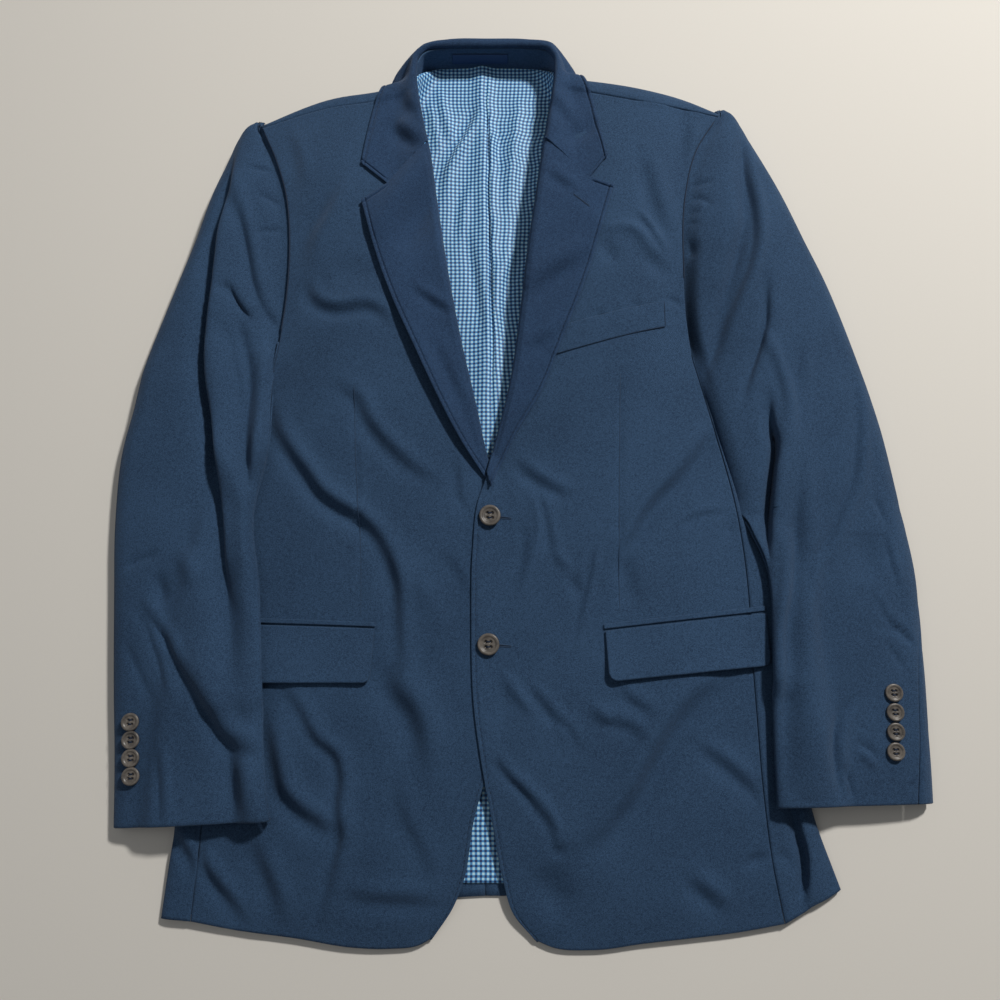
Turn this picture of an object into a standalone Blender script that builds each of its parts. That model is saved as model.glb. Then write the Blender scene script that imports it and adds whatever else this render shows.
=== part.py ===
"""Single breasted blazer, laid flat on its back, with two buttons and notch lapels.

Every cut and sewn piece is its own closed wall of cloth. Lengths in the tables are
millimetres: x runs across the garment to the right, y runs up from the lowest point of
the hem to the collar, z is the height over the surface that it lies on. "left" and
"right" are the sides as seen from above, so the right front is the one on top.
"""

from collections import namedtuple

import bpy
import numpy as np
from mathutils import Vector
from mathutils.bvhtree import BVHTree

# ---------------------------------------------------------------- driving dimensions (mm)

METRES = 0.001                  # one table unit in Blender's metres
MIDDLE = (-0.35, 424.95, 0.0)   # middle of the garment's outline, which becomes the origin
WOOL = 2.0                      # wall of a wool panel with its fusing
LINING = 1.0                    # wall of the back lining
STAND_WALL = 1.6                # wall of the collar stand and of the chest welt
JET_WALL = 1.2
LABEL_WALL = 0.6
SEAM = 0.3                      # gap between two pieces that are sewn together
INNER_SEAM = 0.45               # half of the gap along a sleeve's inner seam
LAY = 0.45                      # gap under a piece that lies on another
ROLL_RADIUS = 4.0               # rounding of the lapel and collar along the roll line
FRONT_UNDER_ROLL = 4.6          # how far a front's edge stays behind the lapel's roll
ARMHOLE = 0.65                  # level of the underarm point on a front's outer edge
SIDE_RADIUS = 12.0              # rounding of the body's side edge
SLEEVE_RADIUS = 13.0            # rounding of a sleeve's top along both of its edges
SLEEVE_UNDER_RADIUS = 7.0       # rounding below a sleeve's edges
SLEEVE_HALF = 6.5               # height of a sleeve's edge over what it lies on
SLEEVE_PILE = 14.0              # thickness of a sleeve where it lies on the body
PILE_BLEND = 8.0                # rounding between that part and the rest
ARMHOLE_STEP = 1.5              # how much lower the sleeve starts than the front's edge
TURN_WEIGHT = 14.0              # how strongly a section's mesh is drawn to its bends
FRONT_BUTTON = 19.0             # diameters
CUFF_BUTTON = 15.0

NAVY = (0.030, 0.062, 0.110, 1.0)
NAVY_DARK = (0.020, 0.045, 0.085, 1.0)
CHECK_BLUE = (0.100, 0.230, 0.400, 1.0)
HORN = (0.085, 0.075, 0.068, 1.0)

# Front: height of the outer face over the surface, a row for each level from hem (0) to
# shoulder (1), at the front edge, a third and two thirds across, and the side.
Level = namedtuple("Level", "level edge near far side")
FRONT_LEVELS = (
    Level(0.00, 4.5, 5.5, 6.0, 7.0),
    Level(0.05, 8.5, 11.0, 11.5, 10.0),
    Level(0.20, 12.5, 17.5, 18.0, 14.0),
    Level(0.35, 13.0, 20.0, 22.0, 16.0),
    Level(0.50, 16.0, 24.0, 25.0, 18.0),
    Level(0.65, 23.0, 31.0, 33.0, 24.0),
    Level(0.80, 27.0, 34.0, 37.0, 31.0),
    Level(0.92, 28.0, 33.0, 36.0, 32.0),
    Level(1.00, 28.0, 30.0, 31.0, 29.0),
)

# Outlines seen from above: the free front edge, the roll line from the break up to the
# neck, the hem, the side seam, the front armhole and the shoulder seam.
Outline = namedtuple("Outline", "edge roll hem side_seam armhole shoulder")
LEFT = Outline(
    edge=((-64, 10), (-48, 33), (-40, 52), (-32, 98), (-14, 165), (-6, 246), (-5, 319), (-7, 365),
          (-15, 386), (-22, 400)),
    roll=((-21, 414), (-31, 460), (-45, 521), (-60, 601), (-71, 674), (-78, 722), (-87, 764)),
    hem=((-64, 10), (-75, 4), (-101, 1), (-130, 2), (-176, 9), (-223, 15), (-262, 22)),
    side_seam=((-262, 22), (-257, 96), (-255, 180), (-249, 265), (-236, 350), (-219, 440), (-210, 523)),
    armhole=((-210, 523), (-208, 571), (-208, 619), (-214, 670), (-226, 708), (-242, 744)),
    shoulder=((-97, 786), (-133, 774), (-170, 767), (-242, 744)),
)
RIGHT = Outline(
    edge=((18, 8), (0, 29), (-8, 55), (-17, 101), (-26, 148), (-32, 189), (-35, 266), (-34, 330),
          (-30, 370), (-25, 386), (-18, 402)),
    roll=((-14, 430), (0, 490), (8, 549), (16, 618), (24, 674), (33, 741), (39, 781)),
    hem=((18, 8), (33, 2), (65, 0), (108, 6), (146, 11), (184, 18), (222, 28)),
    side_seam=((222, 28), (214, 70), (210, 121), (208, 186), (207, 240), (207, 291), (200, 362),
               (184, 436), (165, 505)),
    armhole=((165, 505), (161, 544), (161, 595), (166, 665), (179, 716), (203, 757)),
    shoulder=((49, 792), (87, 783), (130, 773), (203, 757)),
)

# Side edge of the body, a row for each level from hem to underarm: where the cloth turns
# under, and where the side panel meets the back beneath.
Side = namedtuple("Side", "level turn_x turn_y under_x under_y")
LEFT_SIDE = (
    Side(0.00, -284, 25, -236, 30),
    Side(0.12, -281, 96, -236, 98),
    Side(0.30, -276, 190, -232, 190),
    Side(0.50, -265, 280, -222, 280),
    Side(0.75, -241, 400, -208, 402),
    Side(0.92, -224, 486, -198, 490),
    Side(1.00, -217, 524, -198, 528),
)
RIGHT_SIDE = (
    Side(0.00, 268, 50, 214, 42),
    Side(0.12, 252, 104, 210, 100),
    Side(0.30, 247, 175, 206, 172),
    Side(0.50, 237, 270, 198, 268),
    Side(0.75, 207, 376, 175, 378),
    Side(0.92, 183, 462, 156, 466),
    Side(1.00, 171, 506, 153, 512),
)
SIDE_HALF_HEM = 6.0             # height of the side edge's turn at the hem
SIDE_HALF_UNDERARM = 11.0       # and at the underarm

# Sleeve head: a row for each fifth of the armhole from the shoulder to the underarm.
Head = namedtuple("Head", "outer_x outer_y crown")
LEFT_HEAD = (
    Head(-265, 743, 27), Head(-276, 712, 33), Head(-291, 676, 36), Head(-305.5, 627, 36),
    Head(-320, 579, 34), Head(-336, 524, 31),
)
RIGHT_HEAD = (
    Head(227, 757, 27), Head(245, 721, 34), Head(268, 676, 38), Head(286, 627, 38),
    Head(305, 578, 35), Head(324, 512, 31),
)
# Sleeve: the tip where the armhole crosses the shoulder, then a row for each section
# below the underarm. crown is the height over the surface, lap is 1 where the sleeve
# lies over the body, seam is how far the elbow seam stays inside the outer edge.
Sleeve = namedtuple("Sleeve", "inner_x inner_y outer_x outer_y crown lap seam")
LEFT_TIP = Sleeve(-244.5, 750, -257, 754, 20, 0, -8)
LEFT_SLEEVE = (
    Sleeve(-223.5, 510, -341, 507, 31, 0.1, -8),
    Sleeve(-227, 497, -344, 494, 31, 0.45, -8),
    Sleeve(-229, 483, -346, 480, 31, 0.85, -8),
    Sleeve(-227, 462, -349, 458, 30, 1, -8),
    Sleeve(-226, 418, -357, 412, 28, 1, -8),
    Sleeve(-226, 354, -356, 350, 26, 1, -6),
    Sleeve(-221, 291, -350, 290, 25, 1, -5),
    Sleeve(-209, 212, -342, 210, 24, 1, -4),
    Sleeve(-203, 160, -335, 150, 22, 1, -4),
    Sleeve(-197, 104, -330, 97, 18, 1, -4),
)
RIGHT_TIP = Sleeve(206, 763, 217, 767, 20, 0, -8)
RIGHT_SLEEVE = (
    Sleeve(190, 446, 340, 444, 30, 0, -8),
    Sleeve(206.5, 384, 348, 384, 28, 0.15, -6),
    Sleeve(218.5, 344, 353, 346, 26, 0.8, -3),
    Sleeve(225, 300, 357, 300, 25, 1, 2),
    Sleeve(222, 224, 356, 220, 24, 1, 12),
    Sleeve(220, 160, 353, 160, 23, 1, 15),
    Sleeve(219.5, 111, 351, 114, 19, 1, 17),
)

# Neckline of each back half from the middle to the neck point. height is how far the
# cloth, which rolls up and over to the shoulder seam, has risen where it is cut off.
Neck = namedtuple("Neck", "x y height")
LEFT_NECK = (Neck(-22, 831, 0), Neck(-50, 830.5, 0), Neck(-74, 827, 2), Neck(-88, 814, 12),
             Neck(-94, 801, 22), Neck(-97, 787, 28))
RIGHT_NECK = (Neck(-22, 831, 0), Neck(6, 830.5, 0), Neck(28, 827, 2), Neck(41, 816, 12),
              Neck(46, 805, 22), Neck(49, 793, 28))
# How far the roll bulges past the shoulder seam, by the share of the seam's length.
SHOULDER_REACH = ((0.0, 9), (0.2, 18), (0.5, 22), (0.8, 19), (1.0, 14))
ROLL_LEAN = 0.35                # how far the seam lies ahead of the roll's foot, per height
SMALLEST_TURN = 0.35            # least angle that the back's upper edge turns up by
BACK_GAP = 2.5                  # gap between the back and the sleeve beneath the armhole
BACK_SEAM_X = -22.0
BACK_HEM_Y = 41.0

# Back lining, a row for each level from the hem up: only the strip that shows.
Strip = namedtuple("Strip", "y left right")
LINING_STRIPS = (
    Strip(51, -82, 28), Strip(250, -92, 38), Strip(420, -92, 44), Strip(600, -100, 52),
    Strip(740, -104, 56), Strip(785, -93, 46), Strip(806, -87, 40), Strip(818, -79, 33),
    Strip(828.5, -60, 16),
)
PLEAT = ((430, -22), (560, -20), (700, -22), (829, -26))
PLEAT_HEIGHT = 2.6
PLEAT_WIDTH = 9.0
PLEAT_END, PLEAT_FULL = 430.0, 520.0

# Lapels: the free outer edge from the break to the tip, then the top edge from the gorge.
LEFT_LAPEL_START = (-17.5, 402)
LEFT_LAPEL_EDGE = ((-22, 391), (-47, 429), (-64, 461), (-89, 514), (-107, 554), (-119, 585),
                   (-131, 622), (-141, 659))
LEFT_LAPEL_TOP = ((-79, 727), (-116, 678), (-141, 659))
RIGHT_LAPEL_START = (-22.5, 397)
RIGHT_LAPEL_EDGE = ((-18, 384), (6, 436), (26, 469), (47, 521), (64, 564), (76, 600), (87, 638),
                    (98, 676))
RIGHT_LAPEL_TOP = ((32, 731), (76, 686.5), (98, 676))
LAPEL_LIFT = ((0.0, 0.3), (0.25, 2.5), (0.6, 5.0), (1.0, 6.5))
GORGE_FADE = 0.12               # share of a lapel over which its end shape fades out

# Collar leaf, a row for each section from the left gorge round the neck to the right:
# the roll line, the height of its tip and top, the leaf's edge and how far it is turned
# down behind the neck (0 lies on the front, 1 hangs behind).
Leaf = namedtuple("Leaf", "roll_x roll_y tip top edge_x edge_y edge_z behind")
COLLAR = (
    Leaf(-79, 727, 24, 37, -143, 700, 34, 0),
    Leaf(-86, 760, 26, 37.5, -138, 738, 34, 0),
    Leaf(-91, 790, 29, 38, -131, 774, 33, 0),
    Leaf(-92, 808, 31.5, 38, -125, 802, 28, 0.35),
    Leaf(-90, 822, 31.5, 37.5, -112, 824, 16, 0.8),
    Leaf(-82, 830, 31.5, 37, -92, 842, 4, 1),
    Leaf(-60, 832, 31.5, 36.5, -62, 848, 1.2, 1),
    Leaf(-22, 832.5, 31.5, 36, -22, 850, 1.2, 1),
    Leaf(16, 832, 31.5, 36.5, 18, 848, 1.2, 1),
    Leaf(36, 829, 31.5, 37, 46, 842, 4, 1),
    Leaf(42, 820, 31.5, 37.5, 64, 827, 14, 0.8),
    Leaf(43, 804, 31.5, 38, 75, 806, 28, 0.35),
    Leaf(41, 785, 28, 38, 80, 778, 33, 0),
    Leaf(37, 762, 26, 37.5, 86, 748, 34, 0),
    Leaf(32, 731, 24, 37, 93, 709, 34, 0),
)
LEFT_NOTCH = (-116, 678)
RIGHT_NOTCH = (76, 686.5)
NOTCH_FADE = 0.16               # share of the collar over which its end shape fades out

# Collar stand inside the back neck: foot and top of the band.
Stand = namedtuple("Stand", "foot_x foot_y foot_z top_x top_y")
STAND = (
    Stand(-96, 801, 29.3, -94, 804),
    Stand(-92, 814, 22, -91, 816),
    Stand(-82, 826, 10, -83, 828),
    Stand(-60, 830, 4.4, -60, 832),
    Stand(-22, 830.5, 4.0, -22, 832.5),
    Stand(16, 830, 4.4, 16, 832),
    Stand(36, 826, 10, 37, 828),
    Stand(45, 814, 22, 44, 816),
    Stand(48, 802, 29.3, 46, 804),
)
STAND_TOP = 31.0
Label = namedtuple("Label", "left right bottom top")
LABEL = Label(-58, -2, 11.0, 24.0)

# Pockets: four corners seen from above, from the top left one round to the bottom left.
RIGHT_FLAP = ((80, 256), (221, 272), (222, 227), (83, 213))
LEFT_FLAP = ((-252, 263), (-117.5, 258), (-120, 212), (-250, 212))
RIGHT_JET = ((79, 262), (221, 278.5), (221, 274), (79, 257.5))
LEFT_JET = ((-252, 268.5), (-117, 263.5), (-117, 259.5), (-252, 264.5))
CHEST_WELT = ((45, 535), (142, 559), (142, 534), (49, 510))
FLAP_CORNER = 0.28              # share of a mesh cell cut from a flap's lower corners

FRONT_BUTTONS = ((-19, 358), (-20, 245))
LEFT_CUFF_BUTTONS = ((-320, 180), (-318.5, 164.5), (-317, 149), (-315.5, 133.5))
RIGHT_CUFF_BUTTONS = ((322, 204), (321.5, 188), (320.5, 172), (319, 156))
BUTTON_PROFILE = ((0.72, 0.0), (1.0, 0.35), (0.98, 0.75), (0.86, 1.0), (0.70, 0.72))
BUTTON_MIDDLE = 0.66            # height of the dished middle, as a share of the thickness
BUTTON_THICKNESS = 0.17         # as a share of the diameter

# Largest folds: a soft ridge (+) or trough (-) along a line seen from above. width is
# its half width, on names the piece that it crosses.
Fold = namedtuple("Fold", "on height width line")
FOLDS = (
    Fold("front_l", -4.0, 14, ((-204, 440), (-190, 405), (-165, 375), (-135, 352), (-112, 322), (-98, 275))),
    Fold("front_l", -2.5, 12, ((-140, 478), (-126, 436), (-101, 411), (-80, 392))),
    Fold("front_l", 3.0, 16, ((-175, 440), (-150, 400), (-115, 370), (-85, 345))),
    Fold("front_l", 4.0, 14, ((-170, 585), (-150, 574), (-118, 572), (-100, 580))),
    Fold("front_l", -3.0, 12, ((-188, 575), (-176, 558), (-145, 550), (-110, 552))),
    Fold("front_l", -3.0, 16, ((-150, 190), (-120, 130), (-100, 70))),
    Fold("front_r", -4.0, 15, ((172, 436), (141, 400), (108, 359), (84, 330))),
    Fold("front_r", 3.0, 16, ((128, 430), (98, 390), (70, 350), (58, 310))),
    Fold("front_r", -3.0, 16, ((162, 209), (132, 174), (101, 130), (81, 90))),
    Fold("front_r", -3.0, 15, ((-10, 160), (19, 112), (40, 75))),
    Fold("front_r", 3.0, 18, ((100, 640), (136, 598), (140, 560))),
    Fold("sleeve_l", -11.0, 15, ((-268, 715), (-279, 628), (-284, 535), (-277, 476), (-270, 428),
                                 (-256, 354), (-248, 290))),
    Fold("sleeve_l", 4.0, 14, ((-252, 700), (-258, 625), (-258, 533), (-252, 464), (-244, 400), (-236, 330))),
    Fold("sleeve_l", -5.0, 14, ((-306, 255), (-288, 232), (-268, 202), (-250, 160), (-236, 110))),
    Fold("sleeve_l", -3.0, 12, ((-222, 263), (-224, 205), (-212, 150))),
    Fold("sleeve_l", -3.0, 12, ((-248, 590), (-232, 552), (-222, 517), (-220, 470))),
    Fold("sleeve_r", -7.0, 15, ((226, 730), (224, 667), (226, 604), (214, 540), (200, 480))),
    Fold("sleeve_r", 4.0, 14, ((246, 640), (246, 540), (246, 450), (244, 370))),
    Fold("sleeve_r", -4.0, 13, ((268, 258), (276, 198), (284, 150), (282, 112))),
    Fold("sleeve_r", -3.0, 14, ((300, 420), (306, 340), (318, 280))),
)

# Mesh cells along (rows) and across (columns) each piece.
FRONT_ROWS_LOW, FRONT_ROWS_HIGH, FRONT_COLUMNS = 17, 9, 14
SIDE_COLUMNS = 8
BACK_FLAT_ROWS, BACK_TOP_ROWS, NECK_COLUMNS, SHOULDER_COLUMNS = 4, 5, 6, 5
BACK_PIN = 20                   # dense points of a back's column before it turns up
LINING_ROWS, LINING_COLUMNS = 18, 8
LAPEL_ROWS, LAPEL_COLUMNS = 22, 6
COLLAR_ROWS, COLLAR_COLUMNS = 38, 7
STAND_ROWS = 22
TOP_SLEEVE_COLUMNS, UNDER_SLEEVE_COLUMNS = 13, 9
NOTCH_PIN, NOTCH_COLUMN = 24, 4 # dense point and column of the lapels' and collar's notch
SLEEVE_ROWS_LOW = 15
BUTTON_SIDES = 16
PATCH_REACH = 2.0               # how far round a point a piece looks for what lies below
LAPEL_REACH = 4.0
OVERLAP_REACH = 5.0
SLEEVE_REACH = 20.0
CLEAR_STEPS, CLEAR_TURNS = 6, 4 # tests along each mesh cell, and how often it's lifted


# ---------------------------------------------------------------- curves and tables

def hermite(knots, values, x):
    """Smooth curve through values at the knots, read at x (Catmull-Rom slopes)."""
    knots = np.asarray(knots, float)
    values = np.asarray(values, float).reshape(len(knots), -1)
    x = np.clip(np.asarray(x, float), knots[0], knots[-1])
    gaps = np.diff(knots)[:, None]
    slopes = np.diff(values, axis=0) / gaps
    tangents = np.empty_like(values)
    tangents[0], tangents[-1] = slopes[0], slopes[-1]
    tangents[1:-1] = (slopes[:-1] * gaps[1:] + slopes[1:] * gaps[:-1]) / (gaps[1:] + gaps[:-1])
    cell = np.clip(np.searchsorted(knots, x.ravel(), side="right") - 1, 0, len(knots) - 2)
    h = gaps[cell]
    t = (x.ravel()[:, None] - knots[cell][:, None]) / h
    a, b = values[cell], values[cell + 1]
    ta, tb = tangents[cell] * h, tangents[cell + 1] * h
    out = (a * (2 * t ** 3 - 3 * t ** 2 + 1) + ta * (t ** 3 - 2 * t ** 2 + t)
           + b * (3 * t ** 2 - 2 * t ** 3) + tb * (t ** 3 - t ** 2))
    return out.reshape(x.shape + (values.shape[1],))


class Line:
    """A smooth curve through points, read by the share of its length."""

    def __init__(self, points):
        self.points = np.asarray(points, float)
        steps = np.linalg.norm(np.diff(self.points, axis=0), axis=1)
        self.knots = np.concatenate(([0.0], np.cumsum(steps))) / steps.sum()

    def at(self, share):
        return hermite(self.knots, self.points, share)


def joined(first, second, where, share):
    """Two lines read as one, with the corner between them at share = where."""
    share = np.asarray(share, float)
    low = first.at(np.clip(share / where, 0, 1))
    high = second.at(np.clip((share - where) / (1 - where), 0, 1))
    return np.where((share <= where)[..., None], low, high)


def smooth_step(x, low, high):
    t = np.clip((np.asarray(x, float) - low) / (high - low), 0, 1)
    return t * t * (3 - 2 * t)


def coons(left, right, bottom, top, u, v):
    """Patch between four boundary curves given as functions of a share."""
    u1, v1 = u[..., None], v[..., None]
    start, end = np.array(0.0), np.array(1.0)
    sides = (1 - u1) * left(v) + u1 * right(v)
    ends = (1 - v1) * bottom(u) + v1 * top(u)
    flat = ((1 - u1) * (1 - v1) * bottom(start) + u1 * (1 - v1) * bottom(end)
            + (1 - u1) * v1 * top(start) + u1 * v1 * top(end))
    return sides + ends - flat


def path_normals(path, ahead=None, closed=False):
    """Unit normals along a dense section: up where it runs ahead, down where it runs back."""
    tangent = np.gradient(path, axis=0)
    if closed:
        tangent[0] = tangent[-1] = path[1] - path[0] + path[-1] - path[-2]
    ahead = path[-1, :2] - path[0, :2] if ahead is None else ahead
    normal = np.cross(tangent, (-ahead[1], ahead[0], 0.0))
    return normal / np.maximum(np.linalg.norm(normal, axis=1, keepdims=True), 1e-9)


def resample(path, count, ahead=None):
    """count + 1 points along a dense section, closer together where it bends, and the
    normals there. The section may bring its own normals along as three more columns."""
    lengths = np.linalg.norm(np.diff(path[:, :3], axis=0), axis=1)
    path = path[np.concatenate(([True], lengths > 1e-6))]
    normal = path[:, 3:] if path.shape[1] == 6 else path_normals(path, ahead)
    path = path[:, :3]
    steps = np.diff(path, axis=0)
    lengths = np.linalg.norm(steps, axis=1)
    unit = steps / lengths[:, None]
    turn = np.arccos(np.clip((unit[:-1] * unit[1:]).sum(axis=1), -1, 1))
    cost = lengths.copy()
    cost[:-1] += TURN_WEIGHT * turn / 2
    cost[1:] += TURN_WEIGHT * turn / 2
    run = np.concatenate(([0.0], np.cumsum(cost)))
    wanted = np.linspace(0, run[-1], count + 1)
    points = np.stack([np.interp(wanted, run, path[:, k]) for k in range(3)], axis=1)
    normals = np.stack([np.interp(wanted, run, normal[:, k]) for k in range(3)], axis=1)
    return points, normals / np.linalg.norm(normals, axis=1, keepdims=True)


def sections(paths, count, ahead=None, pin=0, pinned=0):
    """Grid and normals of a piece from its dense sections. Where pin is given, the dense
    point with that index becomes the column numbered pinned."""
    grid, normals = [], []
    for path in paths:
        if pin:
            first, first_normals = resample(path[:pin + 1], pinned, ahead)
            second, second_normals = resample(path[pin:], count - pinned, ahead)
            middle = first_normals[-1:] + second_normals[:1]
            middle /= np.linalg.norm(middle)
            grid.append(np.concatenate([first, second[1:]]))
            normals.append(np.concatenate([first_normals[:-1], middle, second_normals[1:]]))
        else:
            points, around = resample(path, count, ahead)
            grid.append(points)
            normals.append(around)
    return np.array(grid), np.array(normals)


def cleared(grid, under, ground, gap):
    """The grid, lifted so that every facet of its underside clears what lies below."""
    grid, under = grid.copy(), under.copy()
    t, s = (a.ravel() for a in np.meshgrid(np.linspace(0, 1, CLEAR_STEPS), np.linspace(0, 1, CLEAR_STEPS)))
    for turn in range(CLEAR_TURNS):
        p, q, r, w = under[:-1, :-1], under[:-1, 1:], under[1:, :-1], under[1:, 1:]
        plan = (p[..., None, :2] * ((1 - s) * (1 - t))[:, None] + q[..., None, :2] * (s * (1 - t))[:, None]
                + r[..., None, :2] * ((1 - s) * t)[:, None] + w[..., None, :2] * (s * t)[:, None])
        a, b, c, d = (k[..., None, 2] for k in (p, q, r, w))
        one = np.where(s >= t, a + s * (b - a) + t * (d - b), a + t * (c - a) + s * (d - c))
        two = np.where(s + t <= 1, a + s * (b - a) + t * (c - a), d + (1 - s) * (c - d) + (1 - t) * (b - d))
        lack = (ground.heights(plan[..., 0], plan[..., 1]) + gap - np.minimum(one, two)).max(axis=-1)
        lift = np.zeros(grid.shape[:2])
        for rows in (slice(0, -1), slice(1, None)):
            for columns in (slice(0, -1), slice(1, None)):
                lift[rows, columns] = np.maximum(lift[rows, columns], lack)
        if lift.max() <= 0:
            break
        grid[..., 2] += lift
        under[..., 2] += lift
    return grid


def inset(grid, left=0.0, right=0.0, first=0.0, last=0.0):
    """Pull a grid's edges inwards along its own rows and columns."""
    grid = grid.copy()
    for rim, beside, gap in ((grid[:, 0], grid[:, 1], left), (grid[:, -1], grid[:, -2], right),
                             (grid[0], grid[1], first), (grid[-1], grid[-2], last)):
        step = beside - rim
        rim += step * (gap / np.maximum(np.linalg.norm(step, axis=-1, keepdims=True), 1e-9))
    return grid


def fold_height(piece, x, y):
    """Sum of the large folds of a piece at points seen from above."""
    total = np.zeros(np.shape(x))
    spot = np.stack([x, y], axis=-1)
    for fold in FOLDS:
        if fold.on != piece:
            continue
        dense = Line(fold.line).at(np.linspace(0, 1, 40))
        gap = np.linalg.norm(spot[..., None, :] - dense, axis=-1)
        taper = np.sin(np.pi * np.clip((gap.argmin(axis=-1) + 2) / 43.0, 0, 1)) ** 0.6
        total += fold.height * taper * np.exp(-(gap.min(axis=-1) / fold.width) ** 2)
    return total


def soft_max(a, b, blend):
    """The larger of two heights, with the crease between them rounded."""
    return (a + b + np.sqrt((a - b) ** 2 + blend ** 2) - blend) / 2


def round_over(gap, radius):
    """Share of full height at a distance from an edge that is rounded with a radius."""
    return np.sqrt(np.clip(1 - (1 - np.minimum(gap / radius, 1)) ** 2, 0, 1))


# ---------------------------------------------------------------- solids

ALL_SOLIDS = {}                 # name: (points, triangles) in mm
MATERIALS = {}


def material(name, colour, roughness):
    if name not in MATERIALS:
        made = bpy.data.materials.new(name)
        made.use_nodes = True
        shader = made.node_tree.nodes["Principled BSDF"]
        shader.inputs["Base Color"].default_value = colour
        shader.inputs["Roughness"].default_value = roughness
        shader.inputs["Metallic"].default_value = 0.0
        MATERIALS[name] = made
    return MATERIALS[name]


def wool():
    return material("navy_wool", NAVY, 0.85)


def solid(name, points, faces, finish):
    """One closed object from points in the tables' millimetres."""
    triangles = []
    for face in faces:
        for k in range(1, len(face) - 1):
            triangles.append((face[0], face[k], face[k + 1]))
    points = np.asarray(points, float)
    ALL_SOLIDS[name] = (points, triangles)
    mesh = bpy.data.meshes.new(name)
    placed = (points - MIDDLE) * METRES
    mesh.from_pydata([tuple(p) for p in placed], [], triangles)
    mesh.validate()
    mesh.materials.append(finish)
    mesh.shade_smooth()
    mesh.set_sharp_from_angle(angle=0.7)
    made = bpy.data.objects.new(name, mesh)
    bpy.context.scene.collection.objects.link(made)
    return made


def grid_normals(grid):
    """Unit normals of a grid of points (rows x columns x 3), either way out."""
    normal = np.cross(np.gradient(grid, axis=1), np.gradient(grid, axis=0))
    return normal / np.maximum(np.linalg.norm(normal, axis=-1, keepdims=True), 1e-9)


def facing(grid, axis, sign):
    """Normals of a grid that faces along an axis."""
    normal = grid_normals(grid)
    return normal * sign * np.sign(normal[..., axis].mean())


def wall(name, grid, thickness, finish, normal):
    """Closed wall of cloth: the grid is its outer face, and normal points out of it."""
    inner = grid - normal * thickness
    rows, columns = grid.shape[:2]
    points = np.concatenate([grid.reshape(-1, 3), inner.reshape(-1, 3)])
    size = rows * columns

    def at(r, c, layer):
        return layer * size + r * columns + c

    faces = []
    for r in range(rows - 1):
        for c in range(columns - 1):
            quad = [at(r, c, 0), at(r, c + 1, 0), at(r + 1, c + 1, 0), at(r + 1, c, 0)]
            faces.append(quad)
            faces.append([quad[0] + size, quad[3] + size, quad[2] + size, quad[1] + size])
    for c in range(columns - 1):
        faces.append([at(0, c, 0), at(0, c, 1), at(0, c + 1, 1), at(0, c + 1, 0)])
        faces.append([at(rows - 1, c, 0), at(rows - 1, c + 1, 0), at(rows - 1, c + 1, 1),
                      at(rows - 1, c, 1)])
    for r in range(rows - 1):
        faces.append([at(r, 0, 0), at(r + 1, 0, 0), at(r + 1, 0, 1), at(r, 0, 1)])
        faces.append([at(r, columns - 1, 0), at(r, columns - 1, 1), at(r + 1, columns - 1, 1),
                      at(r + 1, columns - 1, 0)])
    if (grid_normals(grid) * normal).sum() < 0:
        faces = [face[:1] + face[:0:-1] for face in faces]
    return solid(name, points, faces, finish)


class Ground:
    """What has been laid down so far, as a height seen from above."""

    def __init__(self, names):
        points, triangles = [], []
        for name in names:
            start = len(points)
            points.extend(Vector(p) for p in ALL_SOLIDS[name][0])
            triangles.extend(tuple(start + k for k in t) for t in ALL_SOLIDS[name][1])
        self.tree = BVHTree.FromPolygons(points, triangles)

    def height(self, x, y):
        hit = self.tree.ray_cast(Vector((x, y, 500.0)), Vector((0.0, 0.0, -1.0)))
        return hit[0].z if hit[0] is not None else 0.0

    def heights(self, x, y):
        found = [self.height(px, py) for px, py in zip(x.ravel(), y.ravel())]
        return np.array(found).reshape(x.shape)

    def over(self, x, y, reach):
        """Highest point within reach of each spot."""
        x, y = np.broadcast_arrays(x, y)
        ring = [(0.0, 0.0)]
        for radius in (0.5 * reach, reach):
            ring += [(radius * np.cos(a), radius * np.sin(a)) for a in np.arange(8) * np.pi / 4]
        found = [max(self.height(px + dx, py + dy) for dx, dy in ring)
                 for px, py in zip(x.ravel(), y.ravel())]
        return np.array(found).reshape(x.shape)


class Field:
    """Smooth cover over what has been laid, at least as high everywhere."""

    def __init__(self, ground, x_range, y_range, cell, reach):
        self.x = np.arange(x_range[0], x_range[1] + cell, cell)
        self.y = np.arange(y_range[0], y_range[1] + cell, cell)
        raw = np.array([[ground.height(px, py) for px in self.x] for py in self.y])
        steps = int(round(reach / cell))
        high = raw.copy()
        for dy in range(-steps, steps + 1):
            for dx in range(-steps, steps + 1):
                if dx * dx + dy * dy <= steps * steps:
                    high = np.maximum(high, np.roll(raw, (dy, dx), axis=(0, 1)))
        for axis in (0, 1):
            for turn in range(steps):
                high = (np.roll(high, 1, axis=axis) + 2 * high + np.roll(high, -1, axis=axis)) / 4
        self.values = np.maximum(high, raw)

    def at(self, x, y):
        fx = np.clip((x - self.x[0]) / (self.x[1] - self.x[0]), 0, len(self.x) - 1.001)
        fy = np.clip((y - self.y[0]) / (self.y[1] - self.y[0]), 0, len(self.y) - 1.001)
        ix, iy = fx.astype(int), fy.astype(int)
        tx, ty = fx - ix, fy - iy
        low = self.values[iy, ix] * (1 - tx) + self.values[iy, ix + 1] * tx
        high = self.values[iy + 1, ix] * (1 - tx) + self.values[iy + 1, ix + 1] * tx
        return low * (1 - ty) + high * ty


# ---------------------------------------------------------------- fronts and sides

def word(side):
    return "left" if side == "l" else "right"


def outward(side):
    """Sign of x pointing away from the middle."""
    return -1.0 if side == "l" else 1.0


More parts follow.
